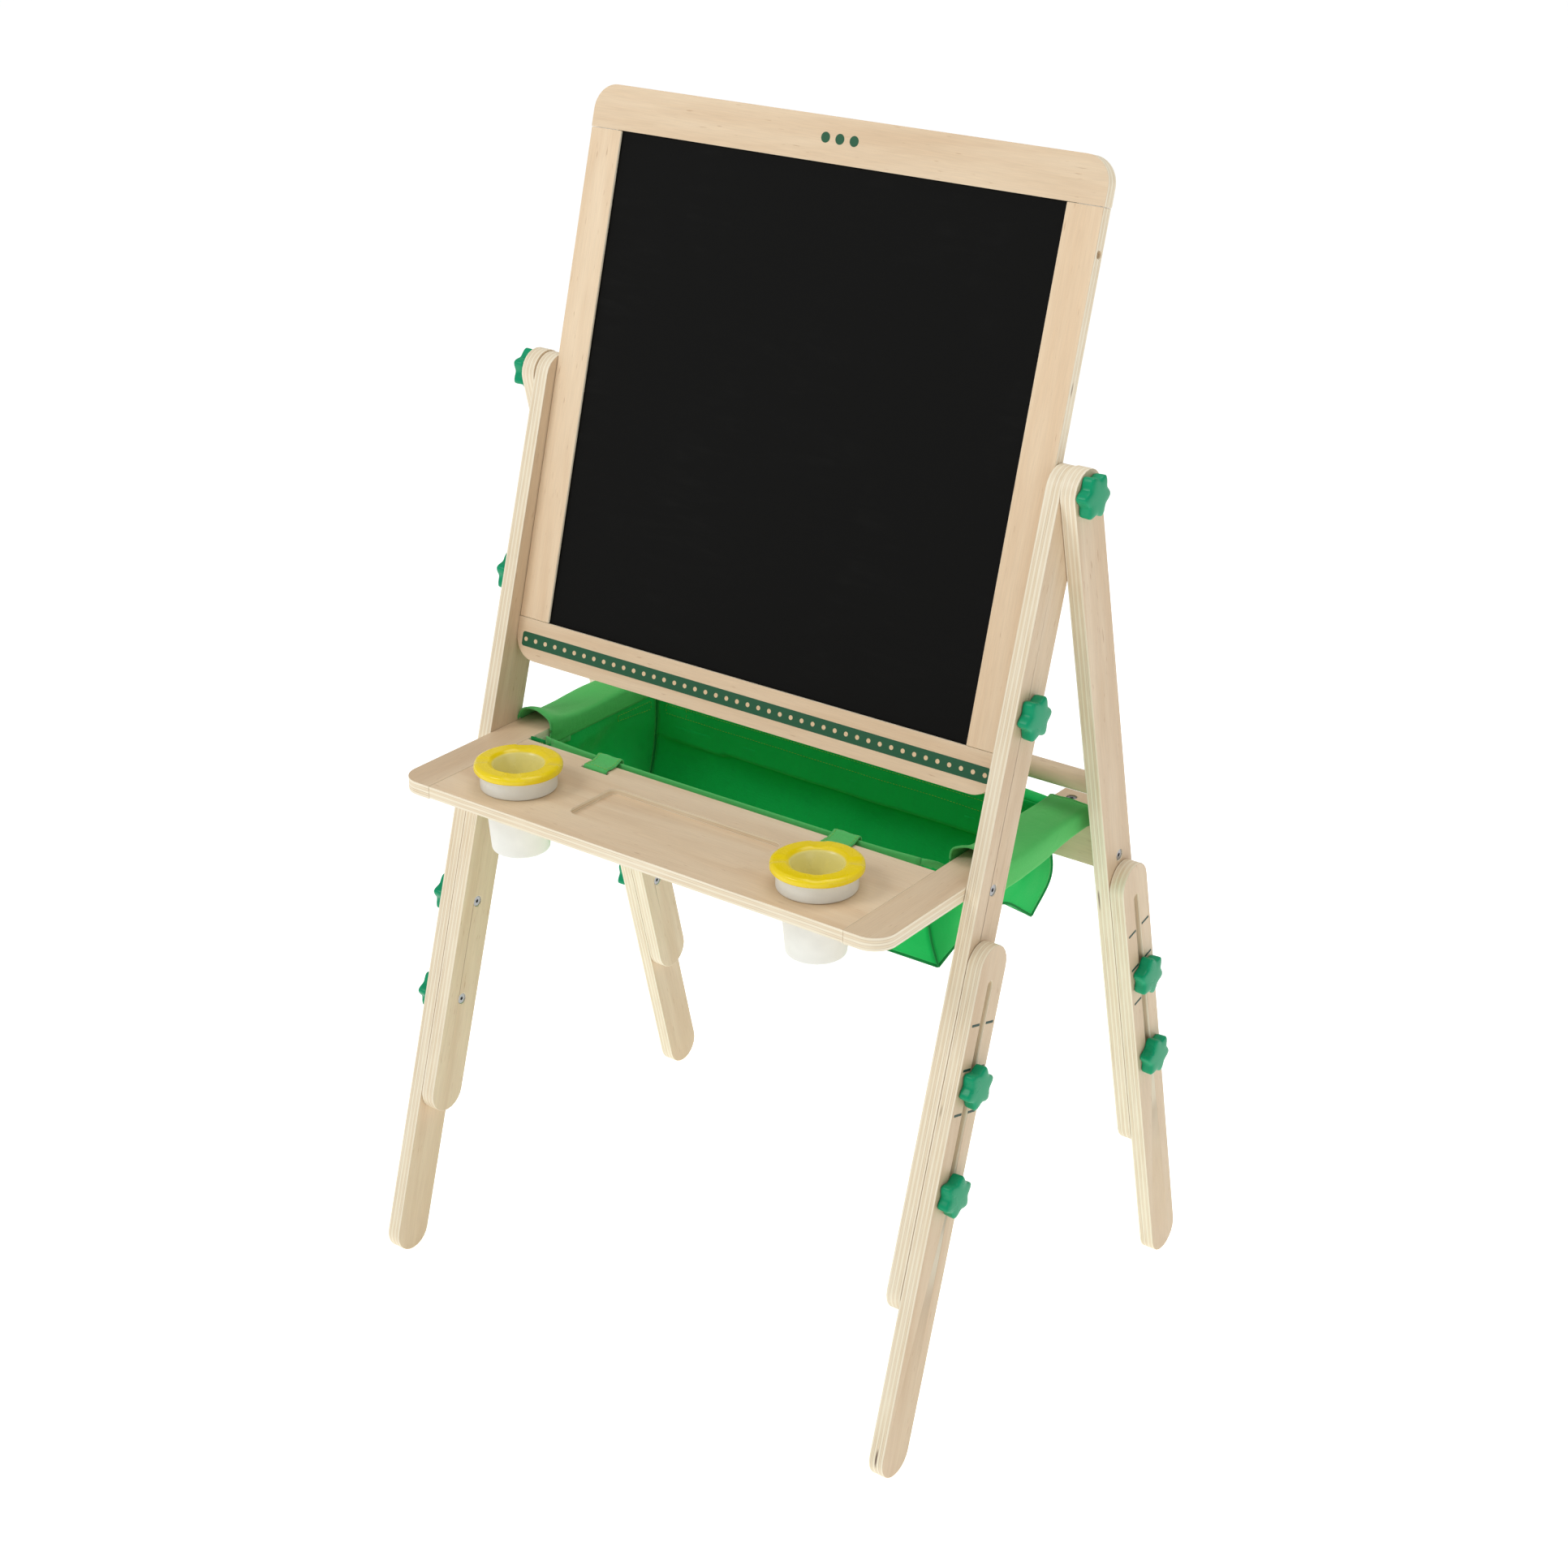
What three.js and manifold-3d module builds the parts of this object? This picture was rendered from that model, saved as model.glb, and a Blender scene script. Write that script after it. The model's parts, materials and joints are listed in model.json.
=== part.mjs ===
// A child's double-sided easel: a flip-over board on four height-adjustable plywood legs, with a
// shelf for paint cups and a hanging fabric bin. Millimetres, +Z up, the child stands on the -Y side.
import * as THREE from 'three';
import { mergeVertices } from 'three/addons/utils/BufferGeometryUtils.js';
import Module from 'manifold-3d';

const wasm = await Module();
wasm.setup();

// ---------------------------------------------------------------- driving dimensions
const GAP = 0.3; // left between any two pieces that touch

const PIVOT_HEIGHT = 850; // the board's pivot axis above the floor, legs at their shortest
const BOARD_WIDTH = 540;
const BOARD_HEIGHT = 537;
const BOARD_THICKNESS = 12.6;
const BOARD_TILT = 15.3; // degrees that the board leans back
const BOARD_CORNER = 24;
const RAIL_HEIGHT = 39.6;
const STILE_WIDTH = 35.5;
const STILE_SETBACK = 0.5;
const PANEL_THICKNESS = 3;
const PANEL_LAP = 6; // how far a panel's edge sits inside the frame's groove

const LEG_THICKNESS = 15;
const LEG_WIDTH = 42;
const FRONT_LEG_TILT = 16.4;
const REAR_LEG_TILT = 14.4;
const FRONT_LEG_OFFSET = 3.5; // leg's centre line behind the pivot axis
const REAR_LEG_OFFSET = 2.2;
const UPPER_LEG_END = 731; // all leg lengths are measured down the leg from the pivot
const MID_KNOB_DISTANCE = 191;
const UPPER_BOLT_DISTANCE = 514;
const LOWER_BOLT_DISTANCE = 614;

const EXTENSION_TOP = 388;
const SLOT_TOP = 420;
const SLOT_BOTTOM = 618.4;
const SLOT_WIDTH = 8;

const SHELF_HEIGHT = 525.7; // top face of the shelf and its arms
const SHELF_THICKNESS = 11.7;
const SHELF_FRONT = -240.3;
const SHELF_BACK = -103.3;
const ARM_WIDTH = 38;
const ARM_THICKNESS = 12.6;
const ARM_BACK = 112;
const ARM_CORNER = 22;
const RECESS_LENGTH = 194;
const RECESS_DEPTH = 5.5;
const RECESS_FRONT = -204;
const RECESS_BACK = -139;
const RECESS_CORNER = 9;
const TAB_SLOT_LENGTH = 32;
const TAB_SLOT_WIDTH = 4.5;
const TAB_SLOT_Y = -119.5;
const TAB_X = 135;
const TAB_THICKNESS = 1.6;
const TAB_PLAY = 2; // between a webbing loop and each end of its slot

const CUP_X = 168;
const CUP_Y = -188;
const CUP_HOLE_RADIUS = 33;
const CUP_DEPTH = 63;
const CUP_COLLAR_RADIUS = 35.5;
const CUP_WALL = 1.6;

const CROSS_BOARD_THICKNESS = 12.6;
const CROSS_BOARD_HEIGHT = 46;
const CROSS_BOARD_Y = 98;
const CROSS_BOLT_BELOW_ARM = 30;
const DOWEL_RADIUS = 10;
const DOWEL_HEIGHT = 555;
const DOWEL_SOCKET = 8;

const BOLT_RADIUS = 3;
const HEAD_RADIUS = 5;
const HEAD_HEIGHT = 3.6;
const HEAD_SINK = 1; // a bolt head's face below the wood's face
const SOCKET_RADIUS = 2;
const INSERT_DEPTH = 16; // how far a stud goes into the board's edge

const KNOB_RADIUS = 17.8;
const KNOB_LOBE = 2.2;
const KNOB_LOBES = 6;
const KNOB_HEIGHT = 12.5;
const KNOB_EDGE = 3;
const KNOB_BORE = 7.5;

const BIN_HALF_WIDTH = 227;
const BIN_FRONT = -100;
const BIN_BACK = 90;
const BIN_BOTTOM = 426;
const BIN_WALL = 2.4;
const SLEEVE_CLEARANCE = 1;
const SLEEVE_FRONT = -64;
const SLEEVE_BACK = 87;
const BIN_HEM_ABOVE_SHELF = 4;
const FLAP_BOTTOM = 474;

const ROUND = 24; // sides of a round hole's outline, and of a rod
const FINE_SIDES = 16; // sides of bolt heads, nuts and the holes round them
const ROD_SIDES = 12; // sides of shanks and studs
const HEX_SIDES = 6;
const CUP_ROUND = 28; // sides of the cups and lids
const LOBE_STEPS = 5; // outline points on each lobe of a knob

// ---------------------------------------------------------------- materials
function finish(color, roughness, metalness = 0) {
  return new THREE.MeshStandardMaterial({ color, roughness, metalness });
}

const plywood = () => finish(0xe3c8a2, 0.6);
const steel = () => finish(0xb9bcc0, 0.3, 1);
const greenPlastic = () => finish(0x00a573, 0.35);
const slate = () => finish(0x191918, 0.85);
const gloss = () => finish(0xf4f5f3, 0.15);
const cupPlastic = () => finish(0xe4e6df, 0.3);
const lidPlastic = () => finish(0xe6c800, 0.3);
const canvas = () => finish(0x1d9c46, 0.9);

// ---------------------------------------------------------------- solids
const MERGE_TOLERANCE = 1e-4;

function toSolid(geometry) {
  const bare = geometry.clone();
  bare.deleteAttribute('normal');
  bare.deleteAttribute('uv');
  const merged = mergeVertices(bare, MERGE_TOLERANCE);
  return new wasm.Manifold(new wasm.Mesh({
    numProp: 3,
    vertProperties: new Float32Array(merged.attributes.position.array),
    triVerts: new Uint32Array(merged.index.array),
  }));
}

function toGeometry(solid) {
  const { vertProperties, triVerts } = solid.getMesh();
  const geometry = new THREE.BufferGeometry();
  geometry.setAttribute('position', new THREE.BufferAttribute(vertProperties, 3));
  geometry.setIndex(new THREE.BufferAttribute(triVerts, 1));
  geometry.computeVertexNormals();
  return geometry;
}

function cut(geometry, ...tools) {
  const solid = tools.reduce((rest, tool) => rest.subtract(toSolid(tool)), toSolid(geometry));
  return toGeometry(solid);
}

function join(geometry, ...others) {
  const solid = others.reduce((sum, other) => sum.add(toSolid(other)), toSolid(geometry));
  return toGeometry(solid);
}

function box(low, high) {
  const size = high.map((value, axis) => value - low[axis]);
  const centre = high.map((value, axis) => (value + low[axis]) / 2);
  return new THREE.BoxGeometry(...size).translate(...centre);
}

// A round rod along X from x0 to x1, at (y, z).
function rodX(radius, x0, x1, y, z, sides = ROUND) {
  const rod = new THREE.CylinderGeometry(radius, radius, Math.abs(x1 - x0), sides);
  return rod.rotateZ(Math.PI / 2).translate((x0 + x1) / 2, y, z);
}

// A round rod along Y from y0 to y1, at (x, z).
function rodY(radius, y0, y1, x, z, sides = ROUND) {
  const rod = new THREE.CylinderGeometry(radius, radius, Math.abs(y1 - y0), sides);
  return rod.translate(x, (y0 + y1) / 2, z);
}

// A round rod along Z from z0 to z1, at (x, y).
function rodZ(radius, z0, z1, x, y, sides = ROUND) {
  const rod = new THREE.CylinderGeometry(radius, radius, Math.abs(z1 - z0), sides);
  return rod.rotateX(Math.PI / 2).translate(x, y, (z0 + z1) / 2);
}

// Extrudes a shape drawn in (Y, Z) along X, from x0 to x1.
function extrudeAlongX(shape, x0, x1, curveSegments = ROUND / 4) {
  const geometry = new THREE.ExtrudeGeometry(shape, { depth: x1 - x0, bevelEnabled: false, curveSegments });
  const basis = new THREE.Matrix4().makeBasis(
    new THREE.Vector3(0, 1, 0),
    new THREE.Vector3(0, 0, 1),
    new THREE.Vector3(1, 0, 0),
  );
  return geometry.applyMatrix4(basis).translate(x0, 0, 0);
}

// Extrudes a shape drawn in (X, Z) along Y, from y0 to y1.
function extrudeAlongY(shape, y0, y1, curveSegments = ROUND / 4) {
  const geometry = new THREE.ExtrudeGeometry(shape, { depth: y1 - y0, bevelEnabled: false, curveSegments });
  return geometry.rotateX(Math.PI / 2).translate(0, y1, 0);
}

// Extrudes a shape drawn in (X, Y) along Z, from z0 to z1.
function extrudeAlongZ(shape, z0, z1, curveSegments = ROUND / 4) {
  const geometry = new THREE.ExtrudeGeometry(shape, { depth: z1 - z0, bevelEnabled: false, curveSegments });
  return geometry.translate(0, 0, z0);
}

// A strip with two half-round ends, along the second axis of its plane.
function stadium(width, high, low, centre = 0) {
  const radius = width / 2;
  const shape = new THREE.Shape();
  shape.absarc(centre, high - radius, radius, 0, Math.PI, false);
  shape.absarc(centre, low + radius, radius, Math.PI, 2 * Math.PI, false);
  shape.closePath();
  return shape;
}

// A rectangle whose corners have the radii given, from the lower left one counter-clockwise.
function roundedRectangle(x0, y0, x1, y1, [lowLeft, lowRight, highRight, highLeft]) {
  const shape = new THREE.Shape();
  const corner = (x, y, radius, start) => {
    if (radius > 0) {
      shape.absarc(x, y, radius, start, start + Math.PI / 2, false);
    } else {
      shape.lineTo(x, y);
    }
  };
  shape.moveTo(x0 + lowLeft, y0);
  if (lowRight > 0) {
    shape.lineTo(x1 - lowRight, y0);
  }
  corner(x1 - lowRight, y0 + lowRight, lowRight, -Math.PI / 2);
  corner(x1 - highRight, y1 - highRight, highRight, 0);
  corner(x0 + highLeft, y1 - highLeft, highLeft, Math.PI / 2);
  if (lowLeft > 0) {
    corner(x0 + lowLeft, y0 + lowLeft, lowLeft, Math.PI);
  }
  return shape;
}

function piece(name, geometry, material) {
  const mesh = new THREE.Mesh(geometry, material);
  mesh.name = name;
  return mesh;
}

const radians = (degrees) => THREE.MathUtils.degToRad(degrees);
const SIDES = [['left', -1], ['right', 1]];

// ---------------------------------------------------------------- the stack of layers beside the board
const BOARD_EDGE = BOARD_WIDTH / 2;
const LAYER = {
  front_upper: [BOARD_EDGE, BOARD_EDGE + LEG_THICKNESS],
  front_extension: [BOARD_EDGE + LEG_THICKNESS + GAP, BOARD_EDGE + 2 * LEG_THICKNESS],
  rear_upper: [BOARD_EDGE + LEG_THICKNESS + GAP, BOARD_EDGE + 2 * LEG_THICKNESS],
  rear_extension: [BOARD_EDGE + 2 * LEG_THICKNESS + GAP, BOARD_EDGE + 3 * LEG_THICKNESS],
};
const FRONT_OUTER = LAYER.front_upper[1];
const REAR_OUTER = LAYER.rear_upper[1];
const REAR_INNER = LAYER.rear_upper[0];

const LEGS = {
  front: { tilt: -radians(FRONT_LEG_TILT), centre: FRONT_LEG_OFFSET },
  rear: { tilt: radians(REAR_LEG_TILT), centre: REAR_LEG_OFFSET },
};

// How far down a leg its centre line reaches a height above the floor.
function distanceAtHeight(leg, height) {
  const { tilt, centre } = LEGS[leg];
  return (PIVOT_HEIGHT - height + centre * Math.sin(tilt)) / Math.cos(tilt);
}

// The Y of a leg's centre line at a height above the floor, with the pivot at Y = 0.
function legYAtHeight(leg, height) {
  const { tilt, centre } = LEGS[leg];
  return centre * Math.cos(tilt) + distanceAtHeight(leg, height) * Math.sin(tilt);
}

function legFrame(leg) {
  const frame = new THREE.Group();
  frame.position.z = PIVOT_HEIGHT;
  frame.rotation.x = LEGS[leg].tilt;
  return frame;
}

// ---------------------------------------------------------------- fasteners
const clearance = BOLT_RADIUS + GAP;
const headPocket = HEAD_RADIUS + GAP;

// A socket-head bolt along X: its head faces away from the tip.
function boltX(headX, tipX, y, z) {
  const outward = Math.sign(headX - tipX);
  const underHead = headX - outward * HEAD_HEIGHT;
  const head = rodX(HEAD_RADIUS, headX, underHead, y, z, FINE_SIDES);
  const shank = rodX(BOLT_RADIUS, underHead + outward, tipX, y, z, ROD_SIDES);
  const socket = rodX(SOCKET_RADIUS, headX + outward, headX - outward * 2, y, z, HEX_SIDES);
  return cut(join(head, shank), socket);
}

// The pocket and hole in the wood that a boltX passes through, from the face that its head is sunk in.
function boltHoleX(faceX, tipX, y, z) {
  const outward = Math.sign(faceX - tipX);
  const depth = HEAD_SINK + HEAD_HEIGHT + GAP;
  return [
    rodX(headPocket, faceX + outward, faceX - outward * depth, y, z, FINE_SIDES),
    rodX(clearance, faceX + outward, tipX, y, z, FINE_SIDES),
  ];
}

function knobOutline() {
  const points = [];
  const steps = KNOB_LOBES * LOBE_STEPS;
  for (let step = 0; step < steps; step += 1) {
    const angle = (step / steps) * 2 * Math.PI;
    const radius = KNOB_RADIUS - KNOB_EDGE + KNOB_LOBE * Math.cos(KNOB_LOBES * angle);
    points.push(new THREE.Vector2(radius * Math.cos(angle), radius * Math.sin(angle)));
  }
  return new THREE.Shape(points);
}

// A six-lobed star knob on the outside of a leg: its flat back is at faceX, its dome faces outward.
function knobGeometry(faceX, side, y, z) {
  const body = new THREE.ExtrudeGeometry(knobOutline(), {
    depth: KNOB_HEIGHT - KNOB_EDGE,
    bevelThickness: KNOB_EDGE,
    bevelSize: KNOB_EDGE,
    bevelSegments: 1,
  });
  const reach = 2 * KNOB_RADIUS;
  const below = box([-reach, -reach, -reach], [reach, reach, 0]);
  const bore = rodZ(clearance, -1, KNOB_BORE, 0, 0, ROD_SIDES);
  const upright = cut(body, below, bore);
  const turned = upright.rotateY(side > 0 ? Math.PI / 2 : -Math.PI / 2);
  return turned.translate(faceX + side * GAP, y, z);
}

// ---------------------------------------------------------------- the board
const STILE_TOP = BOARD_HEIGHT / 2 - RAIL_HEIGHT;
const GROOVE = PANEL_THICKNESS + 1.5 * GAP; // half the groove that holds both panels

function rail(upward) {
  const half = BOARD_HEIGHT / 2;
  const low = upward > 0 ? half - RAIL_HEIGHT : -half;
  const high = upward > 0 ? half : -half + RAIL_HEIGHT;
  const corners = upward > 0 ? [0, 0, BOARD_CORNER, BOARD_CORNER] : [BOARD_CORNER, BOARD_CORNER, 0, 0];
  const outline = roundedRectangle(-BOARD_EDGE + GAP, low, BOARD_EDGE - GAP, high, corners);
  const blank = extrudeAlongY(outline, -BOARD_THICKNESS / 2, BOARD_THICKNESS / 2);
  const grooveEnd = BOARD_EDGE - STILE_WIDTH + PANEL_LAP + GAP;
  const grooveFloor = upward * (STILE_TOP + PANEL_LAP + GAP);
  const grooveMouth = upward * (STILE_TOP - 1);
  const groove = box(
    [-grooveEnd, -GROOVE, Math.min(grooveFloor, grooveMouth)],
    [grooveEnd, GROOVE, Math.max(grooveFloor, grooveMouth)],
  );
  return cut(blank, groove);
}

function stile(side) {
  const outer = side * (BOARD_EDGE - STILE_SETBACK);
  const inner = side * (BOARD_EDGE - STILE_WIDTH);
  const top = STILE_TOP - GAP;
  const blank = box(
    [Math.min(outer, inner), -BOARD_THICKNESS / 2, -top],
    [Math.max(outer, inner), BOARD_THICKNESS / 2, top],
  );
  const grooveFloor = inner + side * (PANEL_LAP + GAP);
  const grooveMouth = inner - side;
  const groove = box(
    [Math.min(grooveFloor, grooveMouth), -GROOVE, -top - 1],
    [Math.max(grooveFloor, grooveMouth), GROOVE, top + 1],
  );
  const holeEnd = outer - side * (INSERT_DEPTH + 1);
  const studHole = (z) => rodX(clearance, outer + side, holeEnd, 0, z, FINE_SIDES);
  return cut(blank, groove, studHole(0), studHole(MID_KNOB_DISTANCE), studHole(-MID_KNOB_DISTANCE));
}

function panel(frontFace) {
  const halfWidth = BOARD_EDGE - STILE_WIDTH + PANEL_LAP;
  const halfHeight = STILE_TOP + PANEL_LAP;
  const outline = roundedRectangle(-halfWidth, -halfHeight, halfWidth, halfHeight, [3, 3, 3, 3]);
  return extrudeAlongY(outline, frontFace, frontFace + PANEL_THICKNESS);
}

function board() {
  const frame = new THREE.Group();
  frame.position.z = PIVOT_HEIGHT;
  frame.rotation.x = -radians(BOARD_TILT);
  frame.add(
    piece('board_top_rail', rail(1), plywood()),
    piece('board_bottom_rail', rail(-1), plywood()),
    piece('chalkboard_panel', panel(-PANEL_THICKNESS - GAP / 2), slate()),
    piece('dry_erase_panel', panel(GAP / 2), gloss()),
  );
  for (const [name, side] of SIDES) {
    frame.add(piece(`board_stile_${name}`, stile(side), plywood()));
  }
  return frame;
}

// Studs and knobs that clamp the board: the pivot ones turn it, the middle ones lock its lower half.
function boardClamps() {
  const frame = new THREE.Group();
  frame.position.z = PIVOT_HEIGHT;
  frame.rotation.x = -radians(BOARD_TILT);
  for (const [name, side] of SIDES) {
    const tip = side * (BOARD_EDGE - STILE_SETBACK - INSERT_DEPTH);
    const pivotFace = side * REAR_OUTER;
    const midFace = side * FRONT_OUTER;
    const intoKnob = side * (KNOB_BORE - 1);
    const stud = (face, z) => rodX(BOLT_RADIUS, tip, face + intoKnob, 0, z, ROD_SIDES);
    frame.add(
      piece(`pivot_stud_${name}`, stud(pivotFace, 0), steel()),
      piece(`pivot_knob_${name}`, knobGeometry(pivotFace, side, 0, 0), greenPlastic()),
      piece(`mid_stud_${name}`, stud(midFace, -MID_KNOB_DISTANCE), steel()),
      piece(`mid_knob_${name}`, knobGeometry(midFace, side, 0, -MID_KNOB_DISTANCE), greenPlastic()),
    );
  }
  return frame;
}

// ---------------------------------------------------------------- legs
const ARM_MID_HEIGHT = SHELF_HEIGHT - ARM_THICKNESS / 2;
const CROSS_TOP = SHELF_HEIGHT - ARM_THICKNESS - GAP;
const CROSS_BOLT_HEIGHT = CROSS_TOP - CROSS_BOLT_BELOW_ARM;

// The point of a leg's own frame that lies at (y, z) of the whole easel.
function inLegFrame(leg, y, z) {
  const point = new THREE.Vector3(0, y, z - PIVOT_HEIGHT);
  return point.applyAxisAngle(new THREE.Vector3(1, 0, 0), -LEGS[leg].tilt);
}

// The board's middle stud, as the front leg's own frame sees it.
function midStudInLeg() {
  const stud = new THREE.Vector3(0, 0, -MID_KNOB_DISTANCE);
  stud.applyAxisAngle(new THREE.Vector3(1, 0, 0), -radians(BOARD_TILT) - LEGS.front.tilt);
  return stud;
}

function upperLeg(leg, side) {
  const { centre } = LEGS[leg];
  const [inner, outer] = LAYER[`${leg}_upper`];
  const outline = stadium(LEG_WIDTH, LEG_WIDTH / 2, -UPPER_LEG_END, centre);
  const low = Math.min(side * inner, side * outer);
  const blank = extrudeAlongX(outline, low, low + outer - inner);
  const through = (y, z) => rodX(clearance, side * (inner - 1), side * (outer + 1), y, z, FINE_SIDES);
  const holes = [through(0, 0)];
  for (const distance of [UPPER_BOLT_DISTANCE, LOWER_BOLT_DISTANCE]) {
    holes.push(...boltHoleX(side * inner, side * (outer + 1), centre, -distance));
  }
  if (leg === 'front') {
    const stud = midStudInLeg();
    const bolt = inLegFrame('front', legYAtHeight('front', ARM_MID_HEIGHT), ARM_MID_HEIGHT);
    holes.push(through(stud.y, stud.z), ...boltHoleX(side * outer, side * (inner - 1), bolt.y, bolt.z));
  } else {
    const bolt = inLegFrame('rear', CROSS_BOARD_Y, CROSS_BOLT_HEIGHT);
    const dowel = inLegFrame('rear', legYAtHeight('rear', DOWEL_HEIGHT), DOWEL_HEIGHT);
    const socketEnd = side * (inner + DOWEL_SOCKET + GAP);
    holes.push(...boltHoleX(side * outer, side * (inner - 1), bolt.y, bolt.z));
    holes.push(rodX(DOWEL_RADIUS + GAP, side * (inner - 1), socketEnd, dowel.y, dowel.z));
  }
  return cut(blank, ...holes);
}

function extension(leg, side) {
  const { centre } = LEGS[leg];
  const [inner, outer] = LAYER[`${leg}_extension`];
  const footCentre = distanceAtHeight(leg, LEG_WIDTH / 2);
  const bottom = footCentre + LEG_WIDTH / 2;
  const outline = stadium(LEG_WIDTH, -EXTENSION_TOP, -bottom, centre);
  outline.holes.push(stadium(SLOT_WIDTH, -SLOT_TOP, -SLOT_BOTTOM, centre));
  const low = Math.min(side * inner, side * outer);
  return extrudeAlongX(outline, low, low + outer - inner);
}

function legs() {
  const group = new THREE.Group();
  for (const leg of ['front', 'rear']) {
    const frame = legFrame(leg);
    const { centre } = LEGS[leg];
    const inner = LAYER[`${leg}_upper`][0];
    const outer = LAYER[`${leg}_extension`][1];
    for (const [name, side] of SIDES) {
      frame.add(
        piece(`${leg}_leg_${name}`, upperLeg(leg, side), plywood()),
        piece(`${leg}_extension_${name}`, extension(leg, side), plywood()),
      );
      for (const [level, distance] of [['upper', UPPER_BOLT_DISTANCE], ['lower', LOWER_BOLT_DISTANCE]]) {
        const tip = side * (outer + KNOB_BORE - 1);
        const bolt = boltX(side * (inner + HEAD_SINK), tip, centre, -distance);
        const knob = knobGeometry(side * outer, side, centre, -distance);
        frame.add(
          piece(`${leg}_${level}_bolt_${name}`, bolt, steel()),
          piece(`${leg}_${level}_knob_${name}`, knob, greenPlastic()),
        );
      }
    }
    group.add(frame);
  }
  return group;
}

// ---------------------------------------------------------------- shelf, arms and rear rails
const ARM_INNER = BOARD_EDGE - ARM_WIDTH;
const ARM_BOTTOM = SHELF_HEIGHT - ARM_THICKNESS;
const NUT_RADIUS = 4.5;
const NUT_LENGTH = 14;
const SCREW_RADIUS = 2.5;
const SCREW_LENGTH = 36;
const SCREW_X = 247;
const BARREL_RADIUS = 5;
const CROSS_BOLT_REACH = 26; // the rear bolt's tip beyond the rear leg's inner face
const BARREL_FROM_END = 20;
const FRONT_SKIN = 2; // wood left in front of the barrel nut's hole

function shelf() {
  const halfWidth = ARM_INNER - GAP;
  const bottom = SHELF_HEIGHT - SHELF_THICKNESS;
  const blank = box([-halfWidth, SHELF_FRONT, bottom], [halfWidth, SHELF_BACK, SHELF_HEIGHT]);
  const outline = roundedRectangle(
    -RECESS_LENGTH / 2,
    RECESS_FRONT,
    RECESS_LENGTH / 2,
    RECESS_BACK,
    Array(4).fill(RECESS_CORNER),
  );
  const tools = [extrudeAlongZ(outline, SHELF_HEIGHT - RECESS_DEPTH, SHELF_HEIGHT + 1, ROUND / 8)];
  for (const [, side] of SIDES) {
    const halfSlot = TAB_SLOT_LENGTH / 2;
    const halfSlotWidth = TAB_SLOT_WIDTH / 2;
    tools.push(
      rodZ(CUP_HOLE_RADIUS, bottom - 1, SHELF_HEIGHT + 1, side * CUP_X, CUP_Y, CUP_ROUND),
      box(
        [side * TAB_X - halfSlot, TAB_SLOT_Y - halfSlotWidth, bottom - 1],
        [side * TAB_X + halfSlot, TAB_SLOT_Y + halfSlotWidth, SHELF_HEIGHT + 1],
      ),
    );
  }
  return cut(blank, ...tools);
}

function arm(side) {
  const inner = side * ARM_INNER;
  const outer = side * (BOARD_EDGE - GAP);
  const corners = side > 0 ? [0, ARM_CORNER, 0, 0] : [ARM_CORNER, 0, 0, 0];
  const low = Math.min(inner, outer);
  const high = Math.max(inner, outer);
  const outline = roundedRectangle(low, SHELF_FRONT, high, ARM_BACK, corners);
  const blank = extrudeAlongZ(outline, ARM_BOTTOM, SHELF_HEIGHT, ROUND / 3);
  const boltY = legYAtHeight('front', ARM_MID_HEIGHT);
  const headFloor = SHELF_HEIGHT - HEAD_SINK - HEAD_HEIGHT - GAP;
  const nutFloor = inner + side * (NUT_LENGTH + GAP);
  return cut(
    blank,
    rodX(clearance, outer + side, inner - side, boltY, ARM_MID_HEIGHT, FINE_SIDES),
    rodX(NUT_RADIUS + GAP, inner - side, nutFloor, boltY, ARM_MID_HEIGHT, FINE_SIDES),
    rodZ(HEAD_RADIUS + GAP, headFloor, SHELF_HEIGHT + 1, side * SCREW_X, CROSS_BOARD_Y, FINE_SIDES),
    rodZ(SCREW_RADIUS + GAP, ARM_BOTTOM - 1, SHELF_HEIGHT, side * SCREW_X, CROSS_BOARD_Y, ROD_SIDES),
  );
}

function armBolt(side) {
  const boltY = legYAtHeight('front', ARM_MID_HEIGHT);
  const tip = side * (ARM_INNER + 3);
  return boltX(side * (FRONT_OUTER - HEAD_SINK), tip, boltY, ARM_MID_HEIGHT);
}

function armNut(side) {
  const boltY = legYAtHeight('front', ARM_MID_HEIGHT);
  const mouth = side * (ARM_INNER + 0.5);
  const end = mouth + side * (NUT_LENGTH - 0.5);
  const body = rodX(NUT_RADIUS, mouth, end, boltY, ARM_MID_HEIGHT, FINE_SIDES);
  const bore = rodX(clearance, mouth - side, mouth + side * NUT_LENGTH, boltY, ARM_MID_HEIGHT, ROD_SIDES);
  return cut(body, bore);
}

function crossBoard() {
  const end = REAR_INNER - GAP;
  const half = CROSS_BOARD_THICKNESS / 2;
  const blank = box(
    [-end, CROSS_BOARD_Y - half, CROSS_TOP - CROSS_BOARD_HEIGHT],
    [end, CROSS_BOARD_Y + half, CROSS_TOP],
  );
  const fromBehind = [CROSS_BOARD_Y - half + FRONT_SKIN, CROSS_BOARD_Y + half + 1];
  const holes = [];
  for (const [, side] of SIDES) {
    const reach = side * (end - CROSS_BOLT_REACH - 1);
    const barrelX = side * (end - BARREL_FROM_END);
    const screwFloor = CROSS_TOP - SCREW_LENGTH;
    holes.push(
      rodX(clearance, side * (end + 1), reach, CROSS_BOARD_Y, CROSS_BOLT_HEIGHT, FINE_SIDES),
      rodY(BARREL_RADIUS + GAP, ...fromBehind, barrelX, CROSS_BOLT_HEIGHT, FINE_SIDES),
      rodZ(SCREW_RADIUS + GAP, screwFloor, CROSS_TOP + 1, side * SCREW_X, CROSS_BOARD_Y, ROD_SIDES),
    );
  }
  return cut(blank, ...holes);
}

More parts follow.
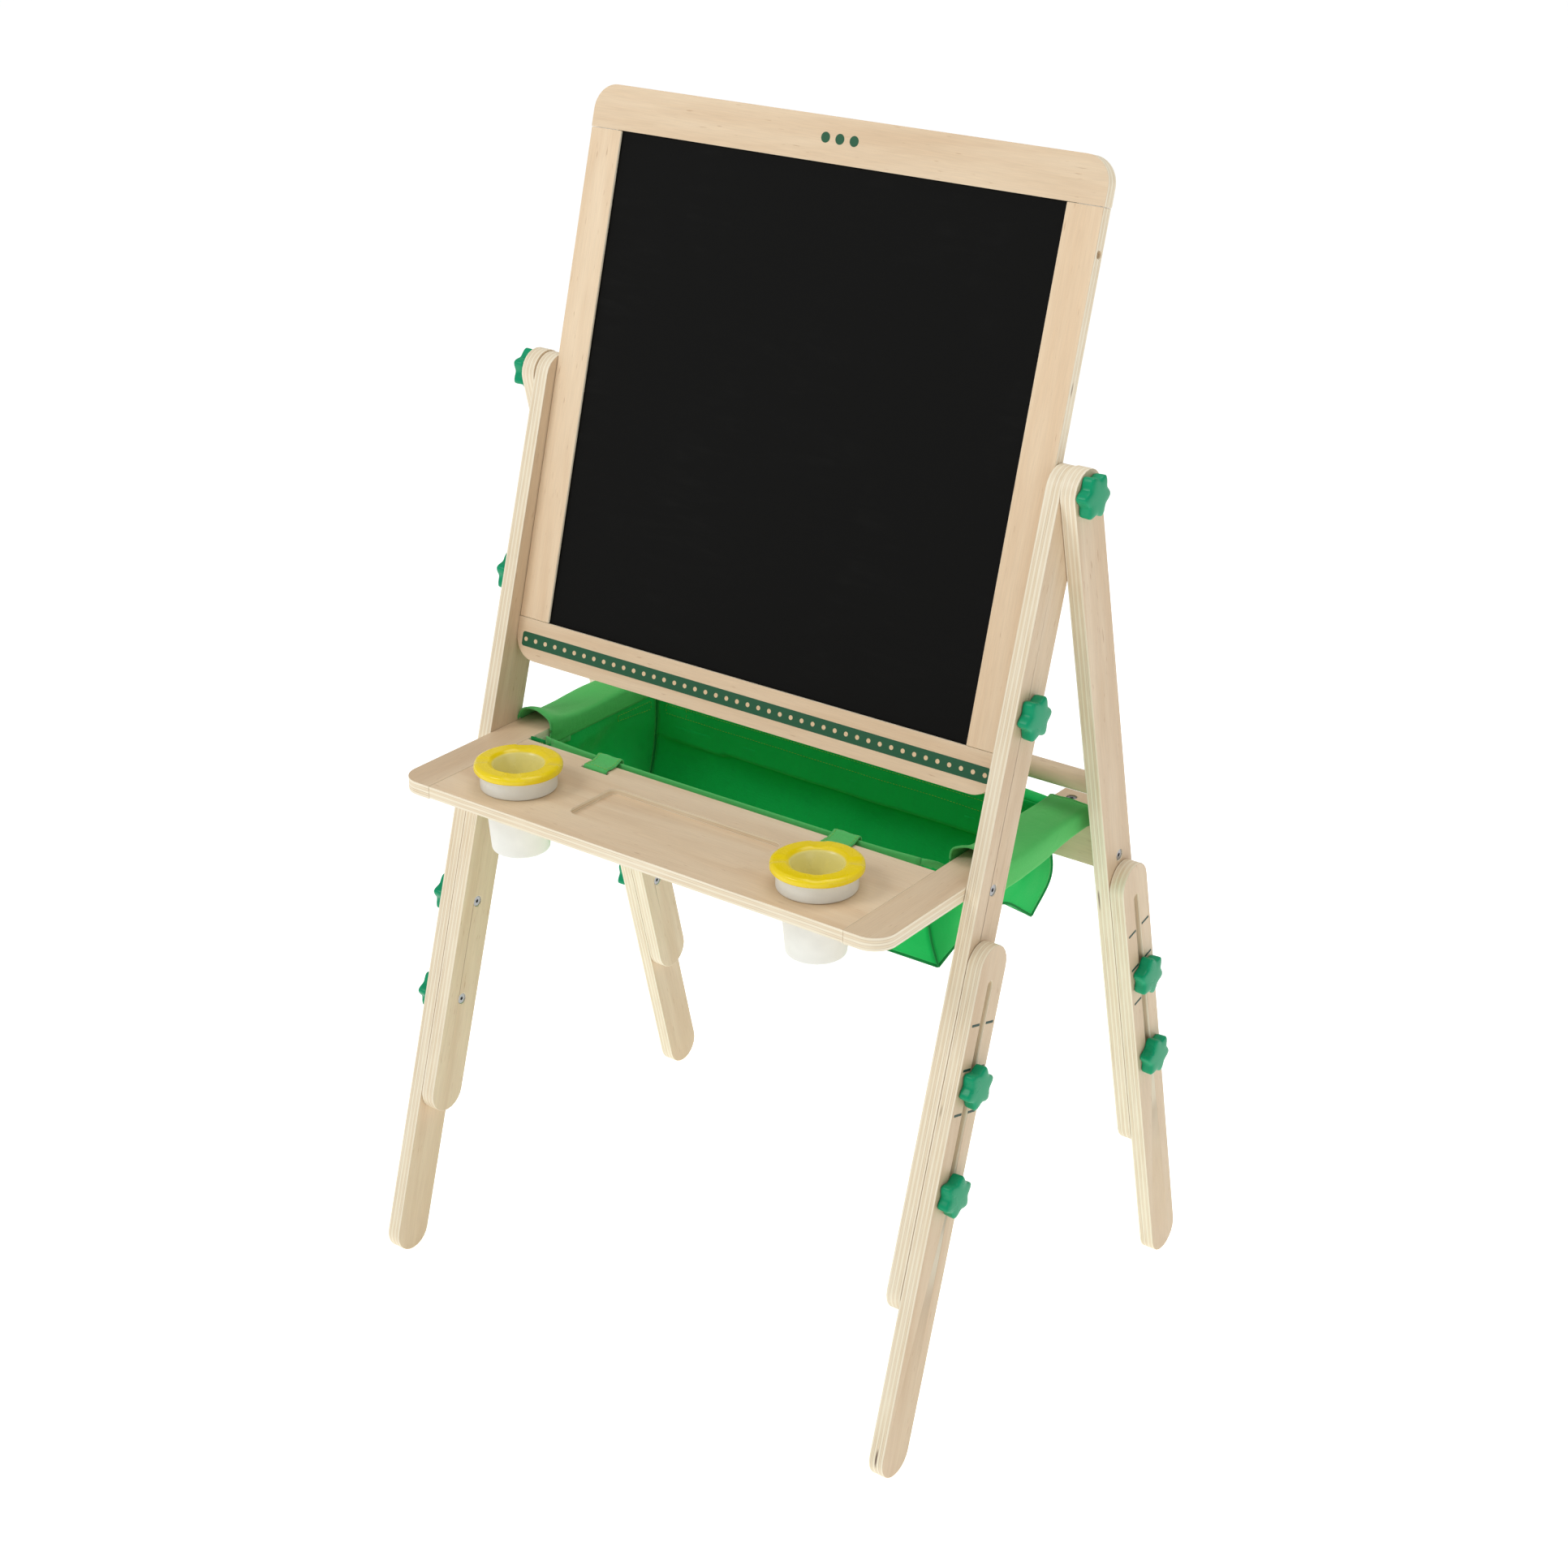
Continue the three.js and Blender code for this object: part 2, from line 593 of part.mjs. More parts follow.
function crossBolt(side) {
  const tip = side * (REAR_INNER - GAP - CROSS_BOLT_REACH);
  return boltX(side * (REAR_OUTER - HEAD_SINK), tip, CROSS_BOARD_Y, CROSS_BOLT_HEIGHT);
}

function barrelNut(side) {
  const half = CROSS_BOARD_THICKNESS / 2;
  const x = side * (REAR_INNER - GAP - BARREL_FROM_END);
  const ends = [CROSS_BOARD_Y - half + FRONT_SKIN + GAP, CROSS_BOARD_Y + half - 0.5];
  const body = rodY(BARREL_RADIUS, ...ends, x, CROSS_BOLT_HEIGHT, FINE_SIDES);
  const reach = BARREL_RADIUS + 1;
  const bore = rodX(clearance, x - reach, x + reach, CROSS_BOARD_Y, CROSS_BOLT_HEIGHT, ROD_SIDES);
  return cut(body, bore);
}

// The screw that holds an arm down on the cross board.
function armScrew(side) {
  const headTop = SHELF_HEIGHT - HEAD_SINK;
  const x = side * SCREW_X;
  const head = rodZ(HEAD_RADIUS, headTop - HEAD_HEIGHT, headTop, x, CROSS_BOARD_Y, FINE_SIDES);
  const shank = rodZ(SCREW_RADIUS, headTop - SCREW_LENGTH, headTop - 1, x, CROSS_BOARD_Y, ROD_SIDES);
  const socket = rodZ(SOCKET_RADIUS, headTop - 2, headTop + 1, x, CROSS_BOARD_Y, HEX_SIDES);
  return cut(join(head, shank), socket);
}

function rearDowel() {
  const end = REAR_INNER + DOWEL_SOCKET;
  return rodX(DOWEL_RADIUS, -end, end, legYAtHeight('rear', DOWEL_HEIGHT), DOWEL_HEIGHT);
}

function shelfAndRails() {
  const group = new THREE.Group();
  group.add(
    piece('shelf', shelf(), plywood()),
    piece('rear_cross_board', crossBoard(), plywood()),
    piece('rear_dowel', rearDowel(), plywood()),
  );
  for (const [name, side] of SIDES) {
    group.add(
      piece(`shelf_arm_${name}`, arm(side), plywood()),
      piece(`arm_bolt_${name}`, armBolt(side), steel()),
      piece(`arm_nut_${name}`, armNut(side), steel()),
      piece(`cross_bolt_${name}`, crossBolt(side), steel()),
      piece(`barrel_nut_${name}`, barrelNut(side), steel()),
      piece(`arm_screw_${name}`, armScrew(side), steel()),
    );
  }
  return group;
}

// ---------------------------------------------------------------- paint cups and their lids
const CUP_COLLAR_TOP = 20;
const CUP_NECK_RADIUS = CUP_HOLE_RADIUS - 1;
const CUP_FOOT_RADIUS = 27;
const LID_RADIUS = 41;
const LID_TOP = 25;
const LID_LOW = 17;
const FUNNEL_TOP_RADIUS = 24;
const FUNNEL_LOW_RADIUS = 12;
const FUNNEL_DEPTH = 12;

function lathe(profile, x, y, z) {
  const points = profile.map(([radius, height]) => new THREE.Vector2(radius, height));
  const turned = new THREE.LatheGeometry(points, CUP_ROUND);
  return turned.rotateX(Math.PI / 2).translate(x, y, z);
}

// A tapered cup whose wider collar rests on the shelf around the hole.
function cup(side) {
  const inner = CUP_COLLAR_RADIUS - CUP_WALL;
  return lathe([
    [0, -CUP_DEPTH],
    [CUP_FOOT_RADIUS - 2, -CUP_DEPTH],
    [CUP_FOOT_RADIUS, -CUP_DEPTH + 2],
    [CUP_NECK_RADIUS, -1],
    [CUP_NECK_RADIUS, GAP],
    [CUP_COLLAR_RADIUS, GAP],
    [CUP_COLLAR_RADIUS, CUP_COLLAR_TOP],
    [inner, CUP_COLLAR_TOP],
    [inner, GAP + CUP_WALL],
    [CUP_NECK_RADIUS - CUP_WALL, GAP + CUP_WALL],
    [CUP_FOOT_RADIUS - CUP_WALL, -CUP_DEPTH + 3 + CUP_WALL],
    [CUP_FOOT_RADIUS - 3 - CUP_WALL, -CUP_DEPTH + CUP_WALL],
    [0, -CUP_DEPTH + CUP_WALL],
  ], side * CUP_X, CUP_Y, SHELF_HEIGHT);
}

// A spill-proof lid: a skirt over the collar, a raised ring, and a funnel down into the cup.
function lid(side) {
  const skirt = CUP_COLLAR_RADIUS + GAP;
  const profile = [
    [skirt, LID_LOW],
    [skirt, CUP_COLLAR_TOP + GAP],
    [CUP_COLLAR_RADIUS - CUP_WALL - 1, CUP_COLLAR_TOP + GAP],
    [FUNNEL_TOP_RADIUS + 2, LID_TOP - 4],
    [FUNNEL_TOP_RADIUS - 1, LID_TOP - 8],
    [FUNNEL_LOW_RADIUS + 1.5, -FUNNEL_DEPTH],
    [FUNNEL_LOW_RADIUS, -FUNNEL_DEPTH],
    [FUNNEL_TOP_RADIUS - 3, LID_TOP - 8],
    [FUNNEL_TOP_RADIUS, LID_TOP - 2],
    [FUNNEL_TOP_RADIUS + 6, LID_TOP],
    [LID_RADIUS - 4, LID_TOP],
    [LID_RADIUS, LID_TOP - 3],
    [LID_RADIUS, LID_LOW + 1],
    [LID_RADIUS - 1, LID_LOW],
  ];
  return lathe([...profile, profile[0]].reverse(), side * CUP_X, CUP_Y, SHELF_HEIGHT);
}

function cups() {
  const group = new THREE.Group();
  for (const [name, side] of SIDES) {
    group.add(
      piece(`paint_cup_${name}`, cup(side), cupPlastic()),
      piece(`cup_lid_${name}`, lid(side), lidPlastic()),
    );
  }
  return group;
}

// ---------------------------------------------------------------- the fabric bin
const SLEEVE_BELOW = ARM_BOTTOM - SLEEVE_CLEARANCE;
const SLEEVE_ABOVE = SHELF_HEIGHT + SLEEVE_CLEARANCE;

// A four-sided sleeve of cloth: the outer box less the hollow that its arm or board passes through.
function sleeve(low, high, alongAxis) {
  const along = (axis) => axis === alongAxis;
  const grow = (corner, sign) => corner.map((value, axis) => value + (along(axis) ? 0 : sign * BIN_WALL));
  const open = (corner, sign) => corner.map((value, axis) => value + (along(axis) ? sign : 0));
  return cut(box(grow(low, -1), grow(high, 1)), box(open(low, -1), open(high, 1)));
}

function armSleeve(side) {
  const ends = [side * (ARM_INNER - SLEEVE_CLEARANCE), side * (BOARD_EDGE + SLEEVE_CLEARANCE)];
  const low = [Math.min(...ends), SLEEVE_FRONT, SLEEVE_BELOW];
  const high = [Math.max(...ends), SLEEVE_BACK, SLEEVE_ABOVE];
  return sleeve(low, high, 1);
}

const RAIL_CLEARANCE = CROSS_BOARD_THICKNESS / 2 + SLEEVE_CLEARANCE;
const FLAP_END = BIN_HALF_WIDTH - 4;

// The back wall's cloth runs on over the cross board and down behind it.
function rearFlap() {
  const front = CROSS_BOARD_Y - RAIL_CLEARANCE - BIN_WALL;
  const back = CROSS_BOARD_Y + RAIL_CLEARANCE + BIN_WALL;
  const top = CROSS_TOP + SLEEVE_CLEARANCE;
  const low = SLEEVE_BELOW - BIN_WALL - 1;
  const rise = box([-FLAP_END, front, low], [FLAP_END, front + BIN_WALL, top + BIN_WALL]);
  const over = box([-FLAP_END, front, top], [FLAP_END, back, top + BIN_WALL]);
  const down = box([-FLAP_END, back - BIN_WALL, FLAP_BOTTOM], [FLAP_END, back, top + BIN_WALL]);
  return join(rise, over, down);
}

// The open tub that the sleeves carry: four walls and a floor, higher in front where its hem is.
function bin() {
  const hemTop = SHELF_HEIGHT + BIN_HEM_ABOVE_SHELF;
  const tubTop = SLEEVE_BELOW - BIN_WALL - GAP;
  const back = CROSS_BOARD_Y - RAIL_CLEARANCE;
  const tub = box([-BIN_HALF_WIDTH, BIN_FRONT, BIN_BOTTOM], [BIN_HALF_WIDTH, back, tubTop]);
  const hem = box([-BIN_HALF_WIDTH, BIN_FRONT, tubTop - 1], [BIN_HALF_WIDTH, BIN_FRONT + BIN_WALL, hemTop]);
  const inside = box(
    [-BIN_HALF_WIDTH + BIN_WALL, BIN_FRONT + BIN_WALL, BIN_BOTTOM + BIN_WALL],
    [BIN_HALF_WIDTH - BIN_WALL, back - BIN_WALL, tubTop + 1],
  );
  const tabs = SIDES.map(([, side]) => tab(side * TAB_X));
  return join(cut(tub, inside), hem, rearFlap(), ...tabs);
}

// A webbing loop that ties the bin's front hem to the shelf through a slot near its rear edge.
function tab(x) {
  const half = TAB_SLOT_LENGTH / 2 - TAB_PLAY;
  const top = SHELF_HEIGHT + GAP;
  const under = SHELF_HEIGHT - SHELF_THICKNESS - GAP;
  const front = TAB_SLOT_Y - TAB_THICKNESS / 2;
  const back = BIN_FRONT + BIN_WALL / 2;
  const over = box([x - half, front, top], [x + half, back, top + TAB_THICKNESS]);
  const down = box([x - half, front, under - TAB_THICKNESS], [x + half, front + TAB_THICKNESS, top]);
  const below = box([x - half, front, under - TAB_THICKNESS], [x + half, back, under]);
  return join(over, down, below);
}

function fabricBin() {
  const group = new THREE.Group();
  group.add(piece('fabric_bin', bin(), canvas()));
  for (const [name, side] of SIDES) {
    group.add(piece(`bin_sleeve_${name}`, armSleeve(side), canvas()));
  }
  return group;
}

// ---------------------------------------------------------------- the whole easel
const easel = new THREE.Group();
easel.name = 'kids_easel';
easel.add(board(), boardClamps(), legs(), shelfAndRails(), cups(), fabricBin());

// The origin is on the floor, under the middle of the easel's own box.
const extent = new THREE.Box3().setFromObject(easel, true);
easel.position.y = -(extent.min.y + extent.max.y) / 2;
easel.position.z = -extent.min.z;

export default easel;
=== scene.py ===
"""The looks of a child's easel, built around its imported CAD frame. Metres, +Z up."""
import json
import math

import bpy
import numpy as np
from mathutils import Matrix, Vector, noise


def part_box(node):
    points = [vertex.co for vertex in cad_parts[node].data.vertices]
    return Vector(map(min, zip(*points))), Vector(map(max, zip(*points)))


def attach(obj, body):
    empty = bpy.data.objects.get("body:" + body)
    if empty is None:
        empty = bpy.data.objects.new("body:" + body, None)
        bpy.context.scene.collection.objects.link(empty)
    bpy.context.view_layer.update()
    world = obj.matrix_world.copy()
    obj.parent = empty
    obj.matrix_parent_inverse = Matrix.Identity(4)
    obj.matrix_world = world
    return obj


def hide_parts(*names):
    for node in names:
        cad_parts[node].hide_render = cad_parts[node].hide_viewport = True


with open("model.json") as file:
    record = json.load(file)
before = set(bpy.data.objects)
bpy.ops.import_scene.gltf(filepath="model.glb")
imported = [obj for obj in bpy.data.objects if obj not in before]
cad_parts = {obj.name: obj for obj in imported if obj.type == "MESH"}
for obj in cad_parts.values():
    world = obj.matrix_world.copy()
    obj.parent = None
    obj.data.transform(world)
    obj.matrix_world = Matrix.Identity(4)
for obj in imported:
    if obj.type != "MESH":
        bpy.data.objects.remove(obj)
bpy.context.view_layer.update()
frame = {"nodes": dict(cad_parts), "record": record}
NODES = frame["nodes"]
JOINTS = {joint["name"]: joint for joint in frame["record"]["behaviour"]["joints"]}
PIVOT = Vector(JOINTS["board_flip"]["pos_m"])
MM = 0.001
SIDES = {"left": -1, "right": 1}
X_AXIS, Y_AXIS, Z_AXIS = Vector((1, 0, 0)), Vector((0, 1, 0)), Vector((0, 0, 1))


def at(x, y, z):
    """A point in metres from millimetres, with y measured from the board's pivot axis."""
    return Vector((x * MM, PIVOT.y + y * MM, z * MM))


def node_centre(name):
    low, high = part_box(name)
    return (low + high) / 2


# ------------------------------------------------------------------ directions of the tilted parts
BOARD_TILT = math.radians(15.3)
BOARD_UP = Vector((0, math.sin(BOARD_TILT), math.cos(BOARD_TILT)))
BOARD_OUT = Vector((0, -math.cos(BOARD_TILT), math.sin(BOARD_TILT)))
LEG_DOWN = {
    leg: Vector(JOINTS[f"{leg}_extension_left_slide"]["axis"]).normalized()
    for leg in ("front", "rear")
}
BOARD_THICKNESS = 12.6 * MM
LEG_THICKNESS = 14.9 * MM


# ------------------------------------------------------------------ node trees
def srgb(r, g, b):
    """A linear colour from 8-bit sRGB values."""
    def linear(value):
        value /= 255
        return value / 12.92 if value <= 0.04045 else ((value + 0.055) / 1.055) ** 2.4
    return (linear(r), linear(g), linear(b), 1.0)


def scaled_colour(colour, factor):
    return tuple(min(1.0, c * factor) for c in colour[:3]) + (1.0,)


class Shading:
    """One material's node tree, with short calls for the nodes it needs."""

    def __init__(self, name):
        self.material = bpy.data.materials.new(name)
        self.material.use_nodes = True
        self.tree = self.material.node_tree
        self.tree.nodes.clear()
        self.shader = self.tree.nodes.new("ShaderNodeBsdfPrincipled")
        output = self.tree.nodes.new("ShaderNodeOutputMaterial")
        self.tree.links.new(self.shader.outputs["BSDF"], output.inputs["Surface"])

    def put(self, socket, value):
        if isinstance(value, bpy.types.NodeSocket):
            self.tree.links.new(value, socket)
        else:
            socket.default_value = value

    def node(self, kind, inputs=(), **settings):
        made = self.tree.nodes.new(kind)
        for key, value in settings.items():
            setattr(made, key, value)
        for key, value in dict(inputs).items():
            self.put(made.inputs[key], value)
        return made

    def surface(self, **values):
        for key, value in values.items():
            self.put(self.shader.inputs[key.replace("_", " ")], value)

    def math(self, operation, a, b=0.0, c=0.0):
        return self.node("ShaderNodeMath", {0: a, 1: b, 2: c}, operation=operation).outputs[0]

    def vector(self, operation, a, b=(0, 0, 0)):
        made = self.node("ShaderNodeVectorMath", {0: a, 1: b}, operation=operation)
        return made.outputs["Value" if operation in ("DOT_PRODUCT", "LENGTH") else "Vector"]

    def split(self, vector):
        return self.node("ShaderNodeSeparateXYZ", {0: vector}).outputs

    def join(self, x, y, z):
        return self.node("ShaderNodeCombineXYZ", {0: x, 1: y, 2: z}).outputs[0]

    def noise(self, vector, stretch, seed=0.0, detail=2.0, roughness=0.5, distortion=0.0):
        """Noise from 0 to 1, with its cells' density along each axis, per metre."""
        inputs = {
            "Vector": self.vector("MULTIPLY", vector, stretch),
            "W": seed,
            "Scale": 1.0,
            "Detail": detail,
            "Roughness": roughness,
            "Distortion": distortion,
        }
        return self.node("ShaderNodeTexNoise", inputs, noise_dimensions="4D").outputs[0]

    def smooth(self, value, low, high, to_low=0.0, to_high=1.0):
        inputs = {"Value": value, "From Min": low, "From Max": high, "To Min": to_low, "To Max": to_high}
        return self.node("ShaderNodeMapRange", inputs, interpolation_type="SMOOTHSTEP").outputs[0]

    def mix(self, factor, a, b, blend="MIX"):
        made = self.node("ShaderNodeMix", data_type="RGBA", blend_type=blend)
        self.put(made.inputs["Factor"], factor)
        self.put(made.inputs["A"], a)
        self.put(made.inputs["B"], b)
        return made.outputs["Result"]

    def here(self, rotation=None, origin=(0, 0, 0)):
        """The point on the object, turned into a part's own directions about an origin."""
        point = self.node("ShaderNodeTexCoord").outputs["Object"]
        if rotation is None:
            return point
        shift = -(rotation @ Vector(origin))
        inputs = {"Vector": point, "Location": shift, "Rotation": rotation.to_euler()}
        return self.node("ShaderNodeMapping", inputs, vector_type="POINT").outputs[0]

    def facing(self):
        return self.node("ShaderNodeTexCoord").outputs["Normal"]

    def lengthwise(self):
        """The piece's own flat measure, in metres."""
        return self.node("ShaderNodeTexCoord").outputs["UV"]

    def bump(self, height, distance, strength=1.0):
        inputs = {"Height": height, "Distance": distance, "Strength": strength}
        self.put(self.shader.inputs["Normal"], self.node("ShaderNodeBump", inputs).outputs[0])


# ------------------------------------------------------------------ wood
FACE_LIGHT = srgb(240, 219, 188)
FACE_DARK = srgb(218, 187, 150)
FLECK = srgb(170, 122, 78)
EDGE_LIGHT = srgb(246, 236, 212)
EDGE_DARK = srgb(222, 198, 160)
GLUE_LINE = srgb(150, 104, 66)
# painted shade: the dark colour inside the plywood's hollow core gaps
CORE_GAP_SHADE = srgb(74, 40, 26)


def part_directions(thin, along):
    """Rows: through the thickness, across the width, along the grain."""
    across = along.cross(thin).normalized()
    return Matrix((thin.normalized(), across, along.normalized()))


def wood_face(shade, point, seed, tone):
    """Rotary-cut face veneer: broad soft figure, fine fibres and short dark pores."""
    figure = shade.noise(point, (3, 26, 2.4), seed, detail=4, roughness=0.55, distortion=1.1)
    rings = shade.noise(point, (2, 95, 4.0), seed + 3, detail=2, distortion=0.6)
    fibre = shade.noise(point, (8, 900, 36), seed + 7, detail=2)
    pores = shade.noise(point, (8, 560, 60), seed + 11, detail=1)
    patch = shade.noise(point, (2, 7, 3), seed + 17, detail=1)
    share = shade.smooth(figure, 0.30, 0.72)
    share = shade.math("ADD", shade.math("MULTIPLY", share, 0.62), shade.math("MULTIPLY", rings, 0.38))
    colour = shade.mix(share, scaled_colour(FACE_LIGHT, tone), scaled_colour(FACE_DARK, tone))
    value = shade.math("MULTIPLY_ADD", fibre, 0.22, 0.89)
    value = shade.math("MULTIPLY", value, shade.math("MULTIPLY_ADD", patch, 0.16, 0.92))
    colour = shade.mix(1.0, colour, shade.join(value, value, value), blend="MULTIPLY")
    fleck = shade.smooth(pores, 0.67, 0.76)
    colour = shade.mix(shade.math("MULTIPLY", fleck, 0.42), colour, FLECK)
    height = shade.math("SUBTRACT", fibre, fleck)
    return colour, height


def wood_edge(shade, point, seed, thickness, veneers):
    """The cut edge of plywood: light and darker veneers by turns, brown glue lines, and a few hollow core
    gaps painted dark for the shade inside them.
    """
    through, across, along = shade.split(point)
    drift = shade.noise(point, (30, 14, 14), seed + 23, detail=1)
    depth = shade.math("MULTIPLY_ADD", through, veneers / thickness, veneers / 2)
    depth = shade.math("ADD", depth, shade.math("MULTIPLY_ADD", drift, 0.36, -0.18))
    layer = shade.math("FLOOR", depth)
    within = shade.math("FRACT", depth)
    parity = shade.math("PINGPONG", layer, 1.0)
    from_middle = shade.math("ABSOLUTE", shade.math("SUBTRACT", within, 0.5))
    per_layer = shade.join(shade.math("MULTIPLY", layer, 0.37), across, along)
    streak = shade.noise(per_layer, (1, 34, 12), seed + 29, detail=3, roughness=0.6)
    fine = shade.noise(point, (1100, 60, 60), seed + 31, detail=2)
    share = shade.math("MULTIPLY_ADD", streak, 0.7, -0.12)
    share = shade.math("ADD", share, shade.math("MULTIPLY", parity, 0.28))
    share = shade.math("ADD", share, shade.math("MULTIPLY_ADD", fine, 0.3, -0.15))
    colour = shade.mix(shade.smooth(share, 0.0, 1.0), EDGE_LIGHT, EDGE_DARK)
    glue_here = shade.noise(per_layer, (1, 18, 18), seed + 37, detail=1)
    glue = shade.smooth(from_middle, 0.36, 0.47)
    glue = shade.math("MULTIPLY", glue, shade.smooth(glue_here, 0.30, 0.75))
    colour = shade.mix(shade.math("MULTIPLY", glue, 0.55), colour, GLUE_LINE)
    # painted shade: dark patches in alternate veneers, standing in for the shade inside hollow core gaps
    gap = shade.noise(per_layer, (1, 26, 15), seed + 41, detail=0)
    gap = shade.math("MULTIPLY", shade.smooth(gap, 0.79, 0.82), shade.smooth(from_middle, 0.38, 0.30))
    gap = shade.math("MULTIPLY", gap, parity)
    colour = shade.mix(gap, colour, CORE_GAP_SHADE)
    height = shade.math("SUBTRACT", shade.math("MULTIPLY", fine, 0.6), shade.math("MULTIPLY", gap, 3.0))
    height = shade.math("SUBTRACT", height, shade.math("MULTIPLY", glue, 0.5))
    return colour, height


def plywood(name, thin, along, centre, thickness, veneers, seed, tone=1.0):
    shade = Shading(name)
    point = shade.here(part_directions(thin, along), centre)
    face, face_height = wood_face(shade, point, seed, tone)
    edge, edge_height = wood_edge(shade, point, seed, thickness, veneers)
    flat = shade.math("ABSOLUTE", shade.vector("DOT_PRODUCT", shade.facing(), tuple(thin)))
    is_edge = shade.smooth(flat, 0.92, 0.70)
    colour = shade.mix(is_edge, face, edge)
    height = shade.mix(is_edge, face_height, edge_height)
    rough = shade.noise(point, (9, 60, 14), seed + 43, detail=2)
    shade.surface(Base_Color=colour, Roughness=shade.smooth(rough, 0.2, 0.8, 0.42, 0.58))
    shade.surface(Coat_Weight=0.12, Coat_Roughness=0.35, Specular_IOR_Level=0.42)
    shade.bump(height, 0.00012, 0.55)
    return shade.material


def round_wood(name, centre, seed):
    """A turned dowel: long straight grain that wraps round it."""
    shade = Shading(name)
    point = shade.here(part_directions(Z_AXIS, X_AXIS), centre)
    colour, height = wood_face(shade, point, seed, 0.94)
    shade.surface(Base_Color=colour, Roughness=0.5, Coat_Weight=0.12, Coat_Roughness=0.35)
    shade.bump(height, 0.00012, 0.5)
    return shade.material


# ------------------------------------------------------------------ the other materials
def chalk_surface():
    """Matt black board paint, with a fine tooth, faint wiped dust and hairline scratches."""
    shade = Shading("chalk_surface")
    point = shade.here(part_directions(BOARD_OUT, BOARD_UP), PIVOT)
    tooth = shade.noise(point, (2400, 2400, 2400), 1.0, detail=2)
    haze = shade.noise(point, (5, 9, 5), 2.0, detail=4, roughness=0.6, distortion=0.8)
    wipe = shade.noise(point, (3, 12, 70), 3.0, detail=3, distortion=1.6)
    dust = shade.math("MULTIPLY", shade.smooth(haze, 0.45, 0.85), shade.smooth(wipe, 0.4, 0.8))
    scratch = shade.noise(point, (4, 30, 900), 5.0, detail=1, distortion=0.5)
    scratch = shade.math("MULTIPLY", shade.smooth(scratch, 0.76, 0.80), shade.smooth(haze, 0.5, 0.7))
    mark = shade.math("MINIMUM", shade.math("ADD", shade.math("MULTIPLY", dust, 0.16),
                                            shade.math("MULTIPLY", scratch, 0.12)), 1.0)
    colour = shade.mix(mark, srgb(10, 10, 9), srgb(52, 52, 50))
    shade.surface(Base_Color=colour, Roughness=shade.smooth(tooth, 0.2, 0.8, 0.60, 0.74))
    shade.surface(Specular_IOR_Level=0.10)
    shade.bump(tooth, 0.00005, 0.5)
    return shade.material


def dry_erase_surface():
    """Glossy white laminate, very slightly uneven, with a ghost of wiped ink."""
    shade = Shading("dry_erase_surface")
    point = shade.here(part_directions(BOARD_OUT, BOARD_UP), PIVOT)
    wave = shade.noise(point, (20, 20, 20), 1.0, detail=2)
    ghost = shade.noise(point, (4, 11, 40), 4.0, detail=3, distortion=1.5)
    colour = shade.mix(shade.smooth(ghost, 0.55, 0.85, 0.0, 0.35), srgb(240, 242, 240), srgb(226, 230, 234))
    shade.surface(Base_Color=colour, Roughness=shade.smooth(ghost, 0.3, 0.8, 0.10, 0.20))
    shade.surface(Coat_Weight=0.5, Coat_Roughness=0.06)
    shade.bump(wave, 0.0002, 0.15)
    return shade.material


def moulded_plastic(name, colour, rough, seed, see_through=0.0, gloss=0.5):
    """Moulded plastic: fine texture, slight flow marks, rubbed brighter spots."""
    shade = Shading(name)
    point = shade.here()
    grain = shade.noise(point, (3000, 3000, 3000), seed, detail=1)
    flow = shade.noise(point, (60, 60, 60), seed + 1, detail=3, distortion=0.5)
    low, high = scaled_colour(colour, 0.92), scaled_colour(colour, 1.08)
    shade.surface(Base_Color=shade.mix(flow, low, high))
    shade.surface(Roughness=shade.smooth(flow, 0.25, 0.75, rough - 0.06, rough + 0.08))
    shade.surface(Transmission_Weight=see_through, IOR=1.46, Specular_IOR_Level=gloss)
    shade.bump(grain, 0.00003, 0.35)
    return shade.material


def zinc_steel():
    shade = Shading("zinc_steel")
    point = shade.here()
    brush = shade.noise(point, (600, 4000, 4000), 1.0, detail=2)
    spot = shade.noise(point, (500, 500, 500), 2.0, detail=3)
    shade.surface(Base_Color=shade.mix(spot, srgb(150, 150, 151), srgb(178, 178, 179)))
    shade.surface(Metallic=1.0, Roughness=shade.smooth(spot, 0.25, 0.75, 0.24, 0.42))
    shade.bump(brush, 0.00003, 0.4)
    return shade.material


def green_print():
    """Thin screen-printed ink on wood, with the grain showing faintly through."""
    shade = Shading("green_print")
    point = shade.here()
    grain = shade.noise(point, (60, 900, 900), 1.0, detail=2)
    colour = shade.mix(shade.smooth(grain, 0.6, 0.85, 0.0, 0.35), srgb(0, 84, 50), srgb(40, 116, 78))
    shade.surface(Base_Color=colour, Roughness=0.5)
    shade.bump(grain, 0.00004, 0.4)
    return shade.material


def mark_print():
    shade = Shading("mark_print")
    point = shade.here()
    grain = shade.noise(point, (900, 900, 120), 1.0, detail=2)
    colour = shade.mix(shade.smooth(grain, 0.5, 0.85, 0.0, 0.5), srgb(28, 66, 54), srgb(84, 112, 94))
    shade.surface(Base_Color=colour, Roughness=0.55)
    shade.bump(grain, 0.00004, 0.3)
    return shade.material


DOT_PITCH = 12 * MM
DOT_RADIUS = 2.1 * MM


